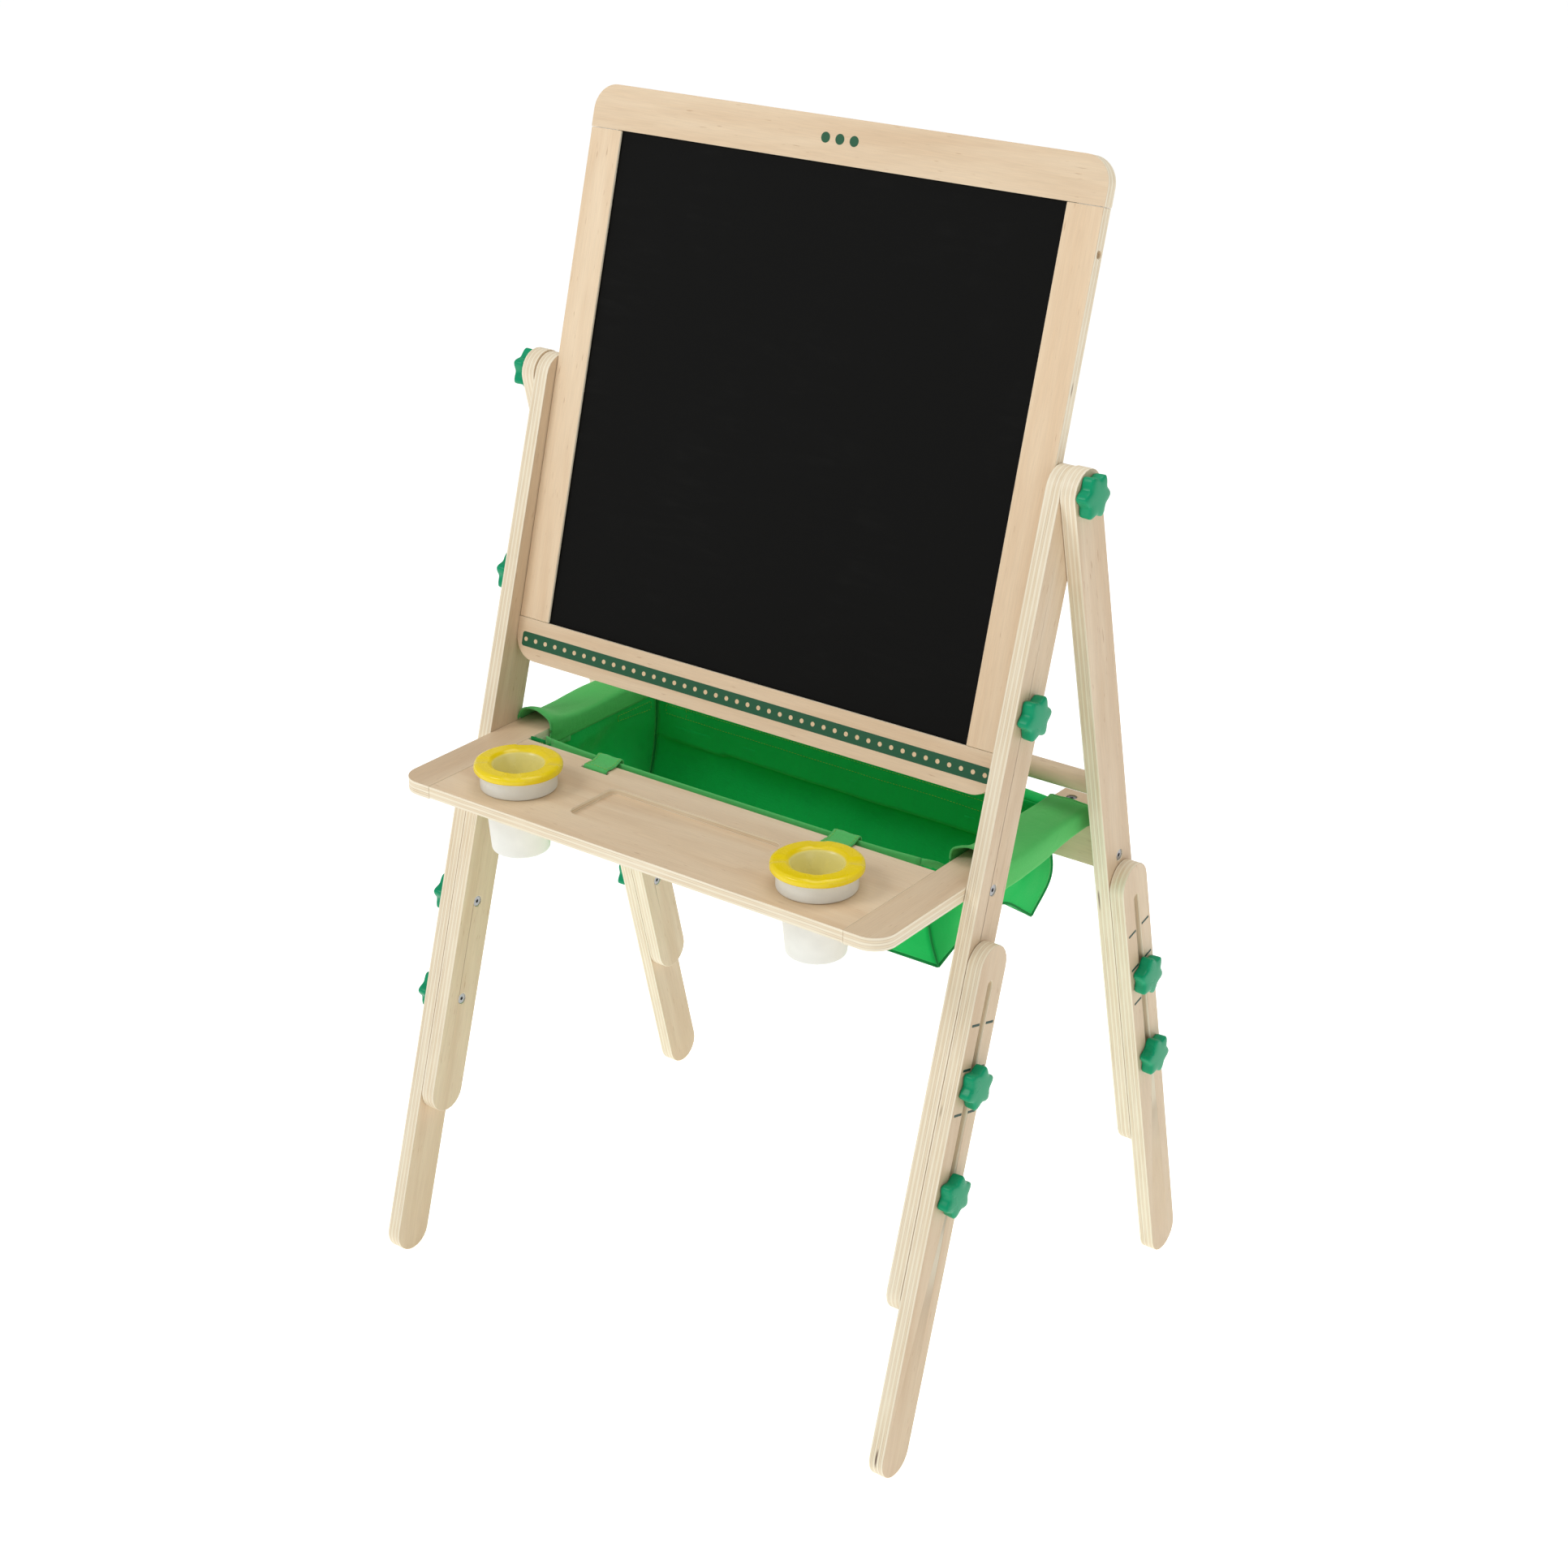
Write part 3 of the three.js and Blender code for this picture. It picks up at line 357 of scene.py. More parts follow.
def dotted_band():
    """The printed band: dark green ink with an even row of round gaps where the wood shows."""
    shade = Shading("dotted_band")
    point = shade.here(part_directions(BOARD_OUT, BOARD_UP), PIVOT)
    flat = shade.lengthwise()
    along, up = shade.split(flat)[0], shade.split(flat)[1]
    cell = shade.math("FRACT", shade.math("DIVIDE", along, DOT_PITCH))
    x = shade.math("MULTIPLY", shade.math("SUBTRACT", cell, 0.5), DOT_PITCH)
    away = shade.vector("LENGTH", shade.join(x, up, 0.0))
    dot = shade.smooth(away, DOT_RADIUS + 0.00015, DOT_RADIUS - 0.00015)
    grain = shade.noise(point, (60, 60, 900), 1.0, detail=2)
    ink = shade.mix(shade.smooth(grain, 0.6, 0.85, 0.0, 0.3), srgb(0, 84, 50), srgb(40, 116, 78))
    wood = shade.mix(grain, srgb(232, 206, 168), srgb(216, 184, 142))
    shade.surface(Base_Color=shade.mix(dot, ink, wood), Roughness=0.5)
    shade.bump(shade.math("MULTIPLY_ADD", dot, -1.0, grain), 0.00006, 0.5)
    return shade.material


THREAD_PITCH = 0.62 * MM


def canvas(name, colour, seed, pitch=THREAD_PITCH, sheen=0.35):
    """Plain-woven cotton canvas: over-and-under threads, slubs, soft creases and sheen."""
    shade = Shading(name)
    flat = shade.lengthwise()
    u, v = shade.split(flat)[0], shade.split(flat)[1]
    wander = shade.noise(flat, (120, 120, 1), seed, detail=1)
    shift = shade.math("MULTIPLY", wander, 0.8)
    turns = math.tau / pitch / 2
    warp = shade.math("SINE", shade.math("ADD", shade.math("MULTIPLY", u, turns), shift))
    weft = shade.math("SINE", shade.math("ADD", shade.math("MULTIPLY", v, turns), shift))
    weave = shade.math("ABSOLUTE", shade.math("MULTIPLY", warp, weft))
    slub_a = shade.noise(flat, (14, 1500, 1), seed + 2, detail=1)
    slub_b = shade.noise(flat, (1500, 14, 1), seed + 3, detail=1)
    slubs = shade.math("MULTIPLY", shade.math("ADD", slub_a, slub_b), 0.5)
    crease = shade.noise(flat, (22, 22, 1), seed + 4, detail=5, roughness=0.62, distortion=1.2)
    fade = shade.noise(flat, (6, 6, 1), seed + 5, detail=2)
    # painted shade: the weave darkens the colour in the grooves between the thread crowns, besides raising
    # the bump
    value = shade.math("MULTIPLY_ADD", weave, 0.14, 0.90)
    value = shade.math("MULTIPLY", value, shade.math("MULTIPLY_ADD", slubs, 0.24, 0.88))
    value = shade.math("MULTIPLY", value, shade.math("MULTIPLY_ADD", fade, 0.20, 0.90))
    shade.surface(Base_Color=shade.mix(1.0, colour, shade.join(value, value, value), blend="MULTIPLY"))
    shade.surface(Roughness=shade.smooth(slubs, 0.3, 0.7, 0.78, 0.92), Specular_IOR_Level=0.22)
    shade.surface(Sheen_Weight=sheen, Sheen_Roughness=0.45, Sheen_Tint=srgb(190, 240, 180))
    height = shade.math("MULTIPLY", weave, 0.30)
    height = shade.math("ADD", height, shade.math("MULTIPLY", slubs, 0.5))
    height = shade.math("ADD", height, shade.math("MULTIPLY", crease, 5.0))
    shade.bump(height, 0.00035, 0.6)
    return shade.material


def thread(name, colour):
    """Twisted sewing thread."""
    shade = Shading(name)
    point = shade.here()
    twist = shade.noise(point, (3500, 3500, 3500), 1.0, detail=1)
    shade.surface(Base_Color=shade.mix(twist, scaled_colour(colour, 0.8), scaled_colour(colour, 1.15)))
    shade.surface(Roughness=0.6, Sheen_Weight=0.3)
    shade.bump(twist, 0.00005, 0.6)
    return shade.material


# ------------------------------------------------------------------ materials on the CAD nodes
def soften_edges(node, width):
    """Joins the faces, shades gentle curves smooth and rounds every sharp edge a little."""
    tree = bpy.data.node_groups.get("smooth_curves") or smooth_curves_group()
    node.modifiers.new("smooth_curves", "NODES").node_group = tree
    bevel = node.modifiers.new("rounded_edges", "BEVEL")
    bevel.width = width
    bevel.segments = 2
    bevel.limit_method = "ANGLE"
    bevel.angle_limit = math.radians(38)
    bevel.harden_normals = True


def smooth_curves_group():
    tree = bpy.data.node_groups.new("smooth_curves", "GeometryNodeTree")
    tree.interface.new_socket("Geometry", in_out="INPUT", socket_type="NodeSocketGeometry")
    tree.interface.new_socket("Geometry", in_out="OUTPUT", socket_type="NodeSocketGeometry")
    start, end = tree.nodes.new("NodeGroupInput"), tree.nodes.new("NodeGroupOutput")
    merge = tree.nodes.new("GeometryNodeMergeByDistance")
    merge.inputs["Distance"].default_value = 2e-6
    forget = tree.nodes.new("GeometryNodeRemoveAttribute")
    forget.inputs["Name"].default_value = "custom_normal"
    faces = tree.nodes.new("GeometryNodeSetShadeSmooth")
    faces.domain = "FACE"
    faces.inputs["Shade Smooth"].default_value = True
    angle = tree.nodes.new("GeometryNodeInputMeshEdgeAngle")
    gentle = tree.nodes.new("FunctionNodeCompare")
    gentle.operation = "LESS_THAN"
    gentle.inputs["B"].default_value = math.radians(32)
    edges = tree.nodes.new("GeometryNodeSetShadeSmooth")
    edges.domain = "EDGE"
    tree.links.new(start.outputs[0], merge.inputs["Geometry"])
    tree.links.new(merge.outputs["Geometry"], forget.inputs["Geometry"])
    tree.links.new(forget.outputs["Geometry"], faces.inputs["Geometry"])
    tree.links.new(faces.outputs["Geometry"], edges.inputs["Geometry"])
    tree.links.new(angle.outputs["Unsigned Angle"], gentle.inputs["A"])
    tree.links.new(gentle.outputs["Result"], edges.inputs["Shade Smooth"])
    tree.links.new(edges.outputs["Geometry"], end.inputs[0])
    return tree


def dress(name, material, edge=None):
    node = NODES[name]
    node.data.materials.clear()
    node.data.materials.append(material)
    if edge:
        soften_edges(node, edge)


def dress_board():
    for number, name in enumerate(("board_top_rail", "board_bottom_rail")):
        wood = plywood(f"{name}_wood", BOARD_OUT, X_AXIS, node_centre(name), BOARD_THICKNESS, 5,
                       5.0 + 9 * number, 0.97)
        dress(name, wood, 1.1 * MM)
    for number, side in enumerate(SIDES):
        name = f"board_stile_{side}"
        wood = plywood(f"{name}_wood", BOARD_OUT, BOARD_UP, node_centre(name), BOARD_THICKNESS, 5,
                       31.0 + 7 * number, 1.03)
        dress(name, wood, 0.8 * MM)
    dress("chalkboard_panel", chalk_surface())
    dress("dry_erase_panel", dry_erase_surface())


# Veneers in each thickness of plywood, and how light each part's face veneer is.
LEG_VENEERS, SHELF_VENEERS, RAIL_VENEERS = 7, 5, 9
LEG_TONE, SHELF_TONE, ARM_TONE, RAIL_TONE = 0.88, 1.0, 0.93, 0.96
LEG_ROUND, SHELF_ROUND, ARM_ROUND = 0.9 * MM, 0.8 * MM, 1.2 * MM


def dress_legs():
    seed = 50.0
    for leg, down in LEG_DOWN.items():
        for side in SIDES:
            for part in ("leg", "extension"):
                seed += 6.5
                name = f"{leg}_{part}_{side}"
                wood = plywood(f"{name}_wood", X_AXIS, -down, node_centre(name), LEG_THICKNESS,
                               LEG_VENEERS, seed, LEG_TONE)
                dress(name, wood, LEG_ROUND)


def dress_shelf():
    low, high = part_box("shelf")
    wood = plywood("shelf_wood", Z_AXIS, X_AXIS, (low + high) / 2, high.z - low.z,
                   SHELF_VENEERS, 201.0, SHELF_TONE)
    dress("shelf", wood, SHELF_ROUND)
    for number, side in enumerate(SIDES):
        name = f"shelf_arm_{side}"
        wood = plywood(f"{name}_wood", Z_AXIS, Y_AXIS, node_centre(name), BOARD_THICKNESS,
                       SHELF_VENEERS, 211.0 + 8 * number, ARM_TONE)
        dress(name, wood, ARM_ROUND)
    name = "rear_cross_board"
    wood = plywood("rear_cross_board_wood", Y_AXIS, X_AXIS, node_centre(name), BOARD_THICKNESS,
                   RAIL_VENEERS, 240.0, RAIL_TONE)
    dress(name, wood, SHELF_ROUND)
    dress("rear_dowel", round_wood("rear_dowel_wood", node_centre("rear_dowel"), 260.0))
    smooth = NODES["rear_dowel"].modifiers.new("smooth_curves", "NODES")
    smooth.node_group = bpy.data.node_groups["smooth_curves"]


def dress_steel():
    steel = zinc_steel()
    for name in NODES:
        if any(word in name for word in ("bolt", "nut", "stud", "screw")):
            dress(name, steel)


# ------------------------------------------------------------------ mesh building
def mesh_piece(name, points, faces, material, body, smooth=True, flat=None):
    """A mesh object that rides on a body; flat is each point's place on the flat piece, in metres."""
    mesh = bpy.data.meshes.new(name)
    mesh.from_pydata([tuple(p) for p in points], [], faces)
    mesh.validate()
    mesh.materials.append(material)
    if flat is not None:
        layer = mesh.uv_layers.new(name="flat")
        for loop in mesh.loops:
            layer.data[loop.index].uv = flat[loop.vertex_index]
    mesh.polygons.foreach_set("use_smooth", [smooth] * len(mesh.polygons))
    made = bpy.data.objects.new(name, mesh)
    bpy.context.scene.collection.objects.link(made)
    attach(made, body)
    return made


def grid_faces(rows, columns, closed=False, start=0):
    """Quads of a grid of points, row by row; closed joins the last column to the first."""
    faces = []
    for row in range(rows - 1):
        for column in range(columns if closed else columns - 1):
            following = (column + 1) % columns
            a, b = row * columns + column, row * columns + following
            faces.append((start + a, start + b, start + b + columns, start + a + columns))
    return faces


def lathe_points(profile, steps, centre, reshape=None):
    """Rings of a turned shape about a vertical axis; reshape may change (radius, height, angle)."""
    points = []
    for radius, height in profile:
        for step in range(steps):
            angle = math.tau * step / steps
            r, h = reshape(radius, height, angle) if reshape else (radius, height)
            points.append(centre + Vector((r * math.cos(angle), r * math.sin(angle), h)) * MM)
    return points


def rounded_profile(corners, radius, steps=4):
    """A profile's corners rounded by small arcs, in the profile's own plane."""
    rounded = []
    for index, corner in enumerate(corners):
        here = Vector(corner)
        if index in (0, len(corners) - 1):
            rounded.append(corner)
            continue
        before, after = Vector(corners[index - 1]) - here, Vector(corners[index + 1]) - here
        reach = min(radius, before.length * 0.45, after.length * 0.45)
        first, last = here + before.normalized() * reach, here + after.normalized() * reach
        for step in range(steps + 1):
            t = step / steps
            point = first * (1 - t) ** 2 + here * (2 * t * (1 - t)) + last * t ** 2
            rounded.append((point.x, point.y))
    return rounded


# ------------------------------------------------------------------ knobs
KNOB_STEPS = 96
KNOB_LOBES = 6
KNOB_RADIUS = 19.9
KNOB_SCALLOP = 4.6
LOBE_SHARPNESS = 0.8


def knob_radius(angle, depth):
    """The rim of a six-lobed knob: rounded lobes with broad scallops between them."""
    wave = 0.5 - 0.5 * math.cos(KNOB_LOBES * angle)
    return KNOB_RADIUS - depth * wave ** LOBE_SHARPNESS


# Each ring: share of the rim's radius taken off, height above the wood, share of the scallops' depth.
KNOB_RINGS = (
    (9.5, 0.0, 0.0), (6.5, 0.0, 0.55), (1.8, 0.1, 0.9), (0.7, 0.6, 1.0), (0.3, 2.2, 1.0), (0.1, 5.6, 1.0),
    (0.0, 8.8, 1.0), (0.1, 9.8, 1.0), (0.5, 10.5, 0.98), (1.3, 11.1, 0.92), (2.6, 11.5, 0.80),
    (5.0, 11.9, 0.56), (8.5, 12.15, 0.30), (12.0, 12.3, 0.10), (16.0, 12.4, 0.0),
)


def knob(name, side, phase, material):
    """A domed star knob that replaces the plain one."""
    low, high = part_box(name)
    centre = (low + high) / 2
    seat = low.x if side > 0 else high.x
    joint = JOINTS[f"{name}_turn"]["pos_m"]
    points = []
    for inset, height, depth in KNOB_RINGS:
        for step in range(KNOB_STEPS):
            angle = math.tau * step / KNOB_STEPS
            r = max(0.5, knob_radius(angle, KNOB_SCALLOP * depth) - inset)
            y, z = r * math.cos(angle + phase), r * math.sin(angle + phase)
            points.append(Vector((seat + side * height * MM, joint[1] + y * MM, joint[2] + z * MM)))
    faces = grid_faces(len(KNOB_RINGS), KNOB_STEPS, closed=True)
    last = (len(KNOB_RINGS) - 1) * KNOB_STEPS
    faces.append(tuple(range(last, last + KNOB_STEPS)))
    faces.append(tuple(range(KNOB_STEPS - 1, -1, -1)))
    if side < 0:
        faces = [tuple(reversed(face)) for face in faces]
    made = mesh_piece(f"{name}_moulded", points, faces, material, name)
    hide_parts(name)
    return made


def knobs():
    plastic = moulded_plastic("knob_plastic", srgb(0, 154, 106), 0.30, 3.0, gloss=0.28)
    phase = 0.35
    for name in sorted(n for n in NODES if "knob" in n):
        side = 1 if name.endswith("right") else -1
        phase += 0.47
        knob(name, side, phase, plastic)


# ------------------------------------------------------------------ paint cups and lids
CUP_STEPS = 96
FUNNEL_RIM = 24.5 * MM


def cup_profile():
    return rounded_profile([
        (0.3, -63.0), (24.5, -63.0), (26.9, -61.0), (32.2, -1.5), (32.2, 0.4), (35.5, 0.4), (35.5, 20.0),
        (34.0, 20.0), (34.0, 2.0), (30.7, 2.0), (25.4, -59.5), (23.5, -61.5), (0.3, -61.5),
    ], 1.4)


LID_NOTCH_WIDTH = 0.10
LID_NOTCH_DEPTH = 0.9
LID_NOTCH_BITE = 0.25


def lid_reshape(radius, height, angle):
    """Four shallow notches across the raised ring, and a slight flat on each side."""
    away = abs(((angle - math.radians(34)) / (math.pi / 2)) % 1.0 - 0.5)
    notch = 1 / (1 + math.exp((0.5 - away - LID_NOTCH_WIDTH) * 90))
    on_ring = max(0.0, min(1.0, (height - 21.5) / 2.0)) * max(0.0, min(1.0, (radius - 25.0) / 3.0))
    rim = max(0.0, min(1.0, (radius - 37.0) / 3.0))
    return radius - LID_NOTCH_BITE * notch * rim, height - LID_NOTCH_DEPTH * notch * on_ring


def lid_profile():
    return rounded_profile([
        (35.9, 17.2), (35.9, 20.5), (33.0, 21.2), (26.5, 21.2), (23.0, 17.5), (12.6, -11.2), (11.4, -11.8),
        (11.4, -10.5), (21.4, 17.3), (23.2, 21.4), (25.4, 23.4), (27.8, 24.8), (37.8, 24.8), (40.4, 23.4),
        (41.0, 21.4), (41.0, 18.4), (39.8, 17.2), (35.9, 17.2),
    ], 0.9)


def lid_plastic(side, centre):
    """Yellow moulded plastic whose thin funnel lets more light through and looks paler."""
    shade = Shading(f"lid_plastic_{side}")
    point = shade.here(part_directions(Z_AXIS, X_AXIS), centre)
    through, across, along = shade.split(point)
    radius = shade.vector("LENGTH", shade.join(0.0, across, along))
    funnel = shade.smooth(radius, FUNNEL_RIM + 0.5 * MM, FUNNEL_RIM - 1.0 * MM)
    flow = shade.noise(point, (60, 60, 60), 9.0, detail=3, distortion=0.5)
    grain = shade.noise(point, (3000, 3000, 3000), 10.0, detail=1)
    ring = shade.mix(flow, srgb(244, 214, 4), srgb(250, 224, 16))
    shade.surface(Base_Color=shade.mix(funnel, ring, srgb(238, 226, 140)))
    shade.surface(Roughness=shade.smooth(flow, 0.25, 0.75, 0.20, 0.32))
    shade.bump(grain, 0.00003, 0.35)
    return shade.material


def cups():
    cup_plastic = moulded_plastic("cup_plastic", srgb(246, 246, 238), 0.40, 7.0, see_through=0.12)
    shelf_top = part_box("shelf")[1].z
    for side in SIDES:
        centre = node_centre(f"paint_cup_{side}")
        centre.z = shelf_top
        profile = cup_profile()
        points = lathe_points(profile, CUP_STEPS, centre)
        faces = grid_faces(len(profile), CUP_STEPS, closed=True)
        faces.append(tuple(range(CUP_STEPS - 1, -1, -1)))
        last = (len(profile) - 1) * CUP_STEPS
        faces.append(tuple(range(last, last + CUP_STEPS)))
        made = mesh_piece(f"paint_cup_{side}_moulded", points, faces, cup_plastic, f"paint_cup_{side}")
        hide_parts(f"paint_cup_{side}")
        profile = lid_profile()[:-1]
        points = lathe_points(profile, CUP_STEPS, centre, lid_reshape)
        rings = len(profile)
        faces = grid_faces(rings, CUP_STEPS, closed=True)
        last = (rings - 1) * CUP_STEPS
        for step in range(CUP_STEPS):
            following = (step + 1) % CUP_STEPS
            faces.append((last + step, last + following, following, step))
        faces = [tuple(reversed(face)) for face in faces]
        plastic = lid_plastic(side, centre)
        made = mesh_piece(f"cup_lid_{side}_moulded", points, faces, plastic, f"cup_lid_{side}")
        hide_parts(f"cup_lid_{side}")


# ------------------------------------------------------------------ printed marks
PRINT_LIFT = 0.12 * MM


def print_on_face(name, outline, out, right, up, origin, material, body):
    """A thin printed shape: an outline in (right, up) millimetres, raised just off the wood."""
    lifted = origin + out * (PRINT_LIFT + 0.02 * MM)
    top = [lifted + right * (x * MM) + up * (y * MM) for x, y in outline]
    base = [p - out * PRINT_LIFT for p in top]
    count = len(outline)
    faces = [tuple(range(count)), tuple(range(2 * count - 1, count - 1, -1))]
    for index in range(count):
        following = (index + 1) % count
        faces.append((index, index + count, following + count, following))
    flat = [(x * MM, y * MM) for x, y in outline] * 2
    return mesh_piece(name, top + base, faces, material, body, smooth=False, flat=flat)


def circle(x, y, radius, steps=40):
    return [(x + radius * math.cos(math.tau * s / steps), y + radius * math.sin(math.tau * s / steps))
            for s in range(steps)]


def bar(x0, y0, x1, y1, corner):
    """A rectangle with rounded corners."""
    outline = []
    for cx, cy, start in ((x1 - corner, y1 - corner, 0), (x0 + corner, y1 - corner, 90),
                          (x0 + corner, y0 + corner, 180), (x1 - corner, y0 + corner, 270)):
        for step in range(7):
            angle = math.radians(start + 15 * step)
            outline.append((cx + corner * math.cos(angle), cy + corner * math.sin(angle)))
    return outline


HEIGHT_MARKS = (458.5, 499.0, 540.0)  # down the leg from the pivot
MARK_OFFSET = 11.5
MARK_HALF = 6.2
MARK_THICK = 1.15
LEG_OFFSET = {"front": 3.5 * MM, "rear": 2.2 * MM}


def board_prints():
    ink = green_print()
    front = PIVOT + BOARD_OUT * (BOARD_THICKNESS / 2)
    band = bar(-262.5, -7, 262.5, 7, 2.5)
    print_on_face("bottom_rail_band", band, BOARD_OUT, X_AXIS, BOARD_UP, front - BOARD_UP * (249 * MM),
                  dotted_band(), "board")
    for number, x in enumerate((-11, 4, 19)):
        print_on_face(f"top_rail_dot_{number}", circle(x, 250, 4.6), BOARD_OUT, X_AXIS, BOARD_UP, front,
                      ink, "board")


def height_marks():
    ink = mark_print()
    for leg, down in LEG_DOWN.items():
        forward = X_AXIS.cross(down)
        for side, sign in SIDES.items():
            name = f"{leg}_extension_{side}"
            low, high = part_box(name)
            face_x = high.x if sign > 0 else low.x
            axis_point = PIVOT - forward * LEG_OFFSET[leg] * (1 if forward.y < 0 else -1)
            axis_point.x = face_x
            for row, distance in enumerate(HEIGHT_MARKS):
                for place, offset in (("a", -MARK_OFFSET), ("b", MARK_OFFSET)):
                    centre = axis_point + down * (distance * MM)
                    outline = bar(offset - MARK_HALF, -MARK_THICK, offset + MARK_HALF, MARK_THICK, 0.6)
                    right = forward if sign * forward.y > 0 else -forward
                    print_on_face(f"{leg}_mark_{side}_{row}{place}", outline, X_AXIS * sign, right, -down,
                                  centre, ink, name)


# ------------------------------------------------------------------ the fabric bin
BIN_GREEN = srgb(8, 196, 92)
# painted light: a lighter copy of the bin green for the hems, tabs and sleeve edges, standing in for the
# light on their tops
LIT_HEM_GREEN = srgb(88, 190, 104)
# painted shade: a darker copy of the bin green for the seams and the end tab, standing in for the shade of
# the doubled cloth
SHADED_SEAM_GREEN = srgb(4, 138, 66)
CLOTH_THICKNESS = 0.8


def curve(points, steps):
    """A smooth curve through points (Catmull-Rom), sampled evenly by parameter."""
    points = [Vector(p) for p in points]
    ends = [points[0] * 2 - points[1], *points, points[-1] * 2 - points[-2]]
    sampled = []
    for step in range(steps + 1):
        t = step / steps * (len(points) - 1)
        index = min(int(t), len(points) - 2)
        t -= index
        a, b, c, d = ends[index:index + 4]
        sampled.append(0.5 * ((2 * b) + (c - a) * t + (2 * a - 5 * b + 4 * c - d) * t * t
                              + (3 * b - a - 3 * c + d) * t ** 3))
    return sampled


def even(points, steps):
    """The same line with its points an equal distance apart."""
    lengths = [0.0]
    for a, b in zip(points, points[1:]):
        lengths.append(lengths[-1] + (b - a).length)
    spaced, index = [], 0
    for step in range(steps + 1):
        target = lengths[-1] * step / steps
        while index < len(points) - 2 and lengths[index + 1] < target:
            index += 1
        span = max(lengths[index + 1] - lengths[index], 1e-9)
        spaced.append(points[index].lerp(points[index + 1], min(1.0, (target - lengths[index]) / span)))
    return spaced


def smooth_line(points, steps):
    return even(curve(points, steps * 3), steps)


def coons(top, bottom, first, last):
    """A patch between four edges: top and bottom run along u, first and last along v, in mm."""
    columns, rows = len(top), len(first)
    patch = []
    for row in range(rows):
        v = row / (rows - 1)
        line = []
        for column in range(columns):
            u = column / (columns - 1)
            ruled = top[column] * (1 - v) + bottom[column] * v + first[row] * (1 - u) + last[row] * u
            above = top[0] * (1 - u) + top[-1] * u
            below = bottom[0] * (1 - u) + bottom[-1] * u
            corners = above * (1 - v) + below * v
            line.append(ruled - corners)
        patch.append(line)
    return patch


def rumple(patch, amount, density, seed, bow=0.0, hold_top=0.0):
    """Soft folds pushed along each panel's normal, none at its sewn edges, plus an overall bow."""
    rows, columns = len(patch), len(patch[0])
    across = patch[0][-1] - patch[0][0]
    down = patch[-1][0] - patch[0][0]
    normal = across.cross(down).normalized()
    moved = []
    for row, line in enumerate(patch):
        v = row / (rows - 1)
        new = []
        for column, point in enumerate(line):
            u = column / (columns - 1)
            edge = min(1.0, 5 * min(u, 1 - u)) * min(1.0, 4 * min(v + hold_top, 1 - v))
            where = Vector((u * across.length * density[0], v * down.length * density[1], seed))
            push = noise.noise(where) + 0.45 * noise.noise(where * 2.3 + Vector((3, 1, 7)))
            belly = 16 * u * (1 - u) * v * (1 - v)
            new.append(point + normal * (amount * push * edge + bow * belly))
        moved.append(new)
    return moved


def cloth_piece(name, patch, material, thickness=CLOTH_THICKNESS):
    """A sheet of cloth from a patch in millimetres, with its flat measure for the weave."""
    rows, columns = len(patch), len(patch[0])
    points, flat = [], []
    for row, line in enumerate(patch):
        travelled = 0.0
        for column, point in enumerate(line):
            if column:
                travelled += (point - line[column - 1]).length
            points.append(at(*point))
            flat.append((travelled * MM, sum((patch[r + 1][column] - patch[r][column]).length
                                             for r in range(row)) * MM))
    made = mesh_piece(name, points, grid_faces(rows, columns), material, "frame", flat=flat)
    solid = made.modifiers.new("cloth_thickness", "SOLIDIFY")
    solid.thickness = thickness * MM
    solid.offset = 0.0
    return made


def tube(name, path, width, height, material, body="frame", steps=10, flat_across=None):
    """A soft cord or flat hem along a path in mm: an oval section, its flat way up given by flat_across."""
    points, flat = [], []
    travelled = 0.0
    for index, here in enumerate(path):
        ahead = path[min(index + 1, len(path) - 1)] - path[max(index - 1, 0)]
        ahead.normalize()
        across = (flat_across or Z_AXIS) - ahead * (flat_across or Z_AXIS).dot(ahead)
        across.normalize()
        other = ahead.cross(across)
        travelled += (here - path[index - 1]).length if index else 0.0
        for step in range(steps):
            angle = math.tau * step / steps
            c, s = math.cos(angle), math.sin(angle)
            squared = (abs(c) ** 4 + abs(s) ** 4) ** -0.25
            offset = across * (c * squared * width / 2) + other * (s * squared * height / 2)
            points.append(at(*(here + offset)))
            flat.append((travelled * MM, step / steps * (width + height) * 2 * MM))
    faces = grid_faces(len(path), steps, closed=True)
    faces.append(tuple(range(steps - 1, -1, -1)))
    last = (len(path) - 1) * steps
    faces.append(tuple(range(last, last + steps)))
    made = mesh_piece(name, points, faces, material, body, flat=flat)
    return made


STITCH_PITCH = 3.4
STITCH_LENGTH = 2.3
STITCH_RADIUS = 0.24
_stitches = {"points": [], "faces": []}


def stitch(line, lift):
    """A row of stitches along a line in mm, each a small bead of thread raised along lift."""
    total = sum((b - a).length for a, b in zip(line, line[1:]))
    count = max(2, int(total / STITCH_PITCH))
    spaced = even(line, count * 3)
    for index in range(count):
        a, b = spaced[index * 3], spaced[min(index * 3 + 2, len(spaced) - 1)]
        add_stitch(a, b, lift)


def add_stitch(a, b, lift):
    along = (b - a).normalized()
    out = (lift - along * lift.dot(along)).normalized()
    side = along.cross(out)
    centre = (a + b) / 2 + out * (STITCH_RADIUS * 0.6)
    start = len(_stitches["points"])
    for share, size in ((-0.5, 0.35), (-0.36, 0.9), (0.0, 1.15), (0.36, 0.9), (0.5, 0.35)):
        for step in range(6):
            angle = math.tau * step / 6
            ring = side * math.cos(angle) + out * math.sin(angle)
            _stitches["points"].append(at(*(centre + along * (share * STITCH_LENGTH)
                                            + ring * (STITCH_RADIUS * size))))
    _stitches["faces"] += grid_faces(5, 6, closed=True, start=start)
    _stitches["faces"].append(tuple(range(start + 5, start - 1, -1)))
    _stitches["faces"].append(tuple(range(start + 24, start + 30)))


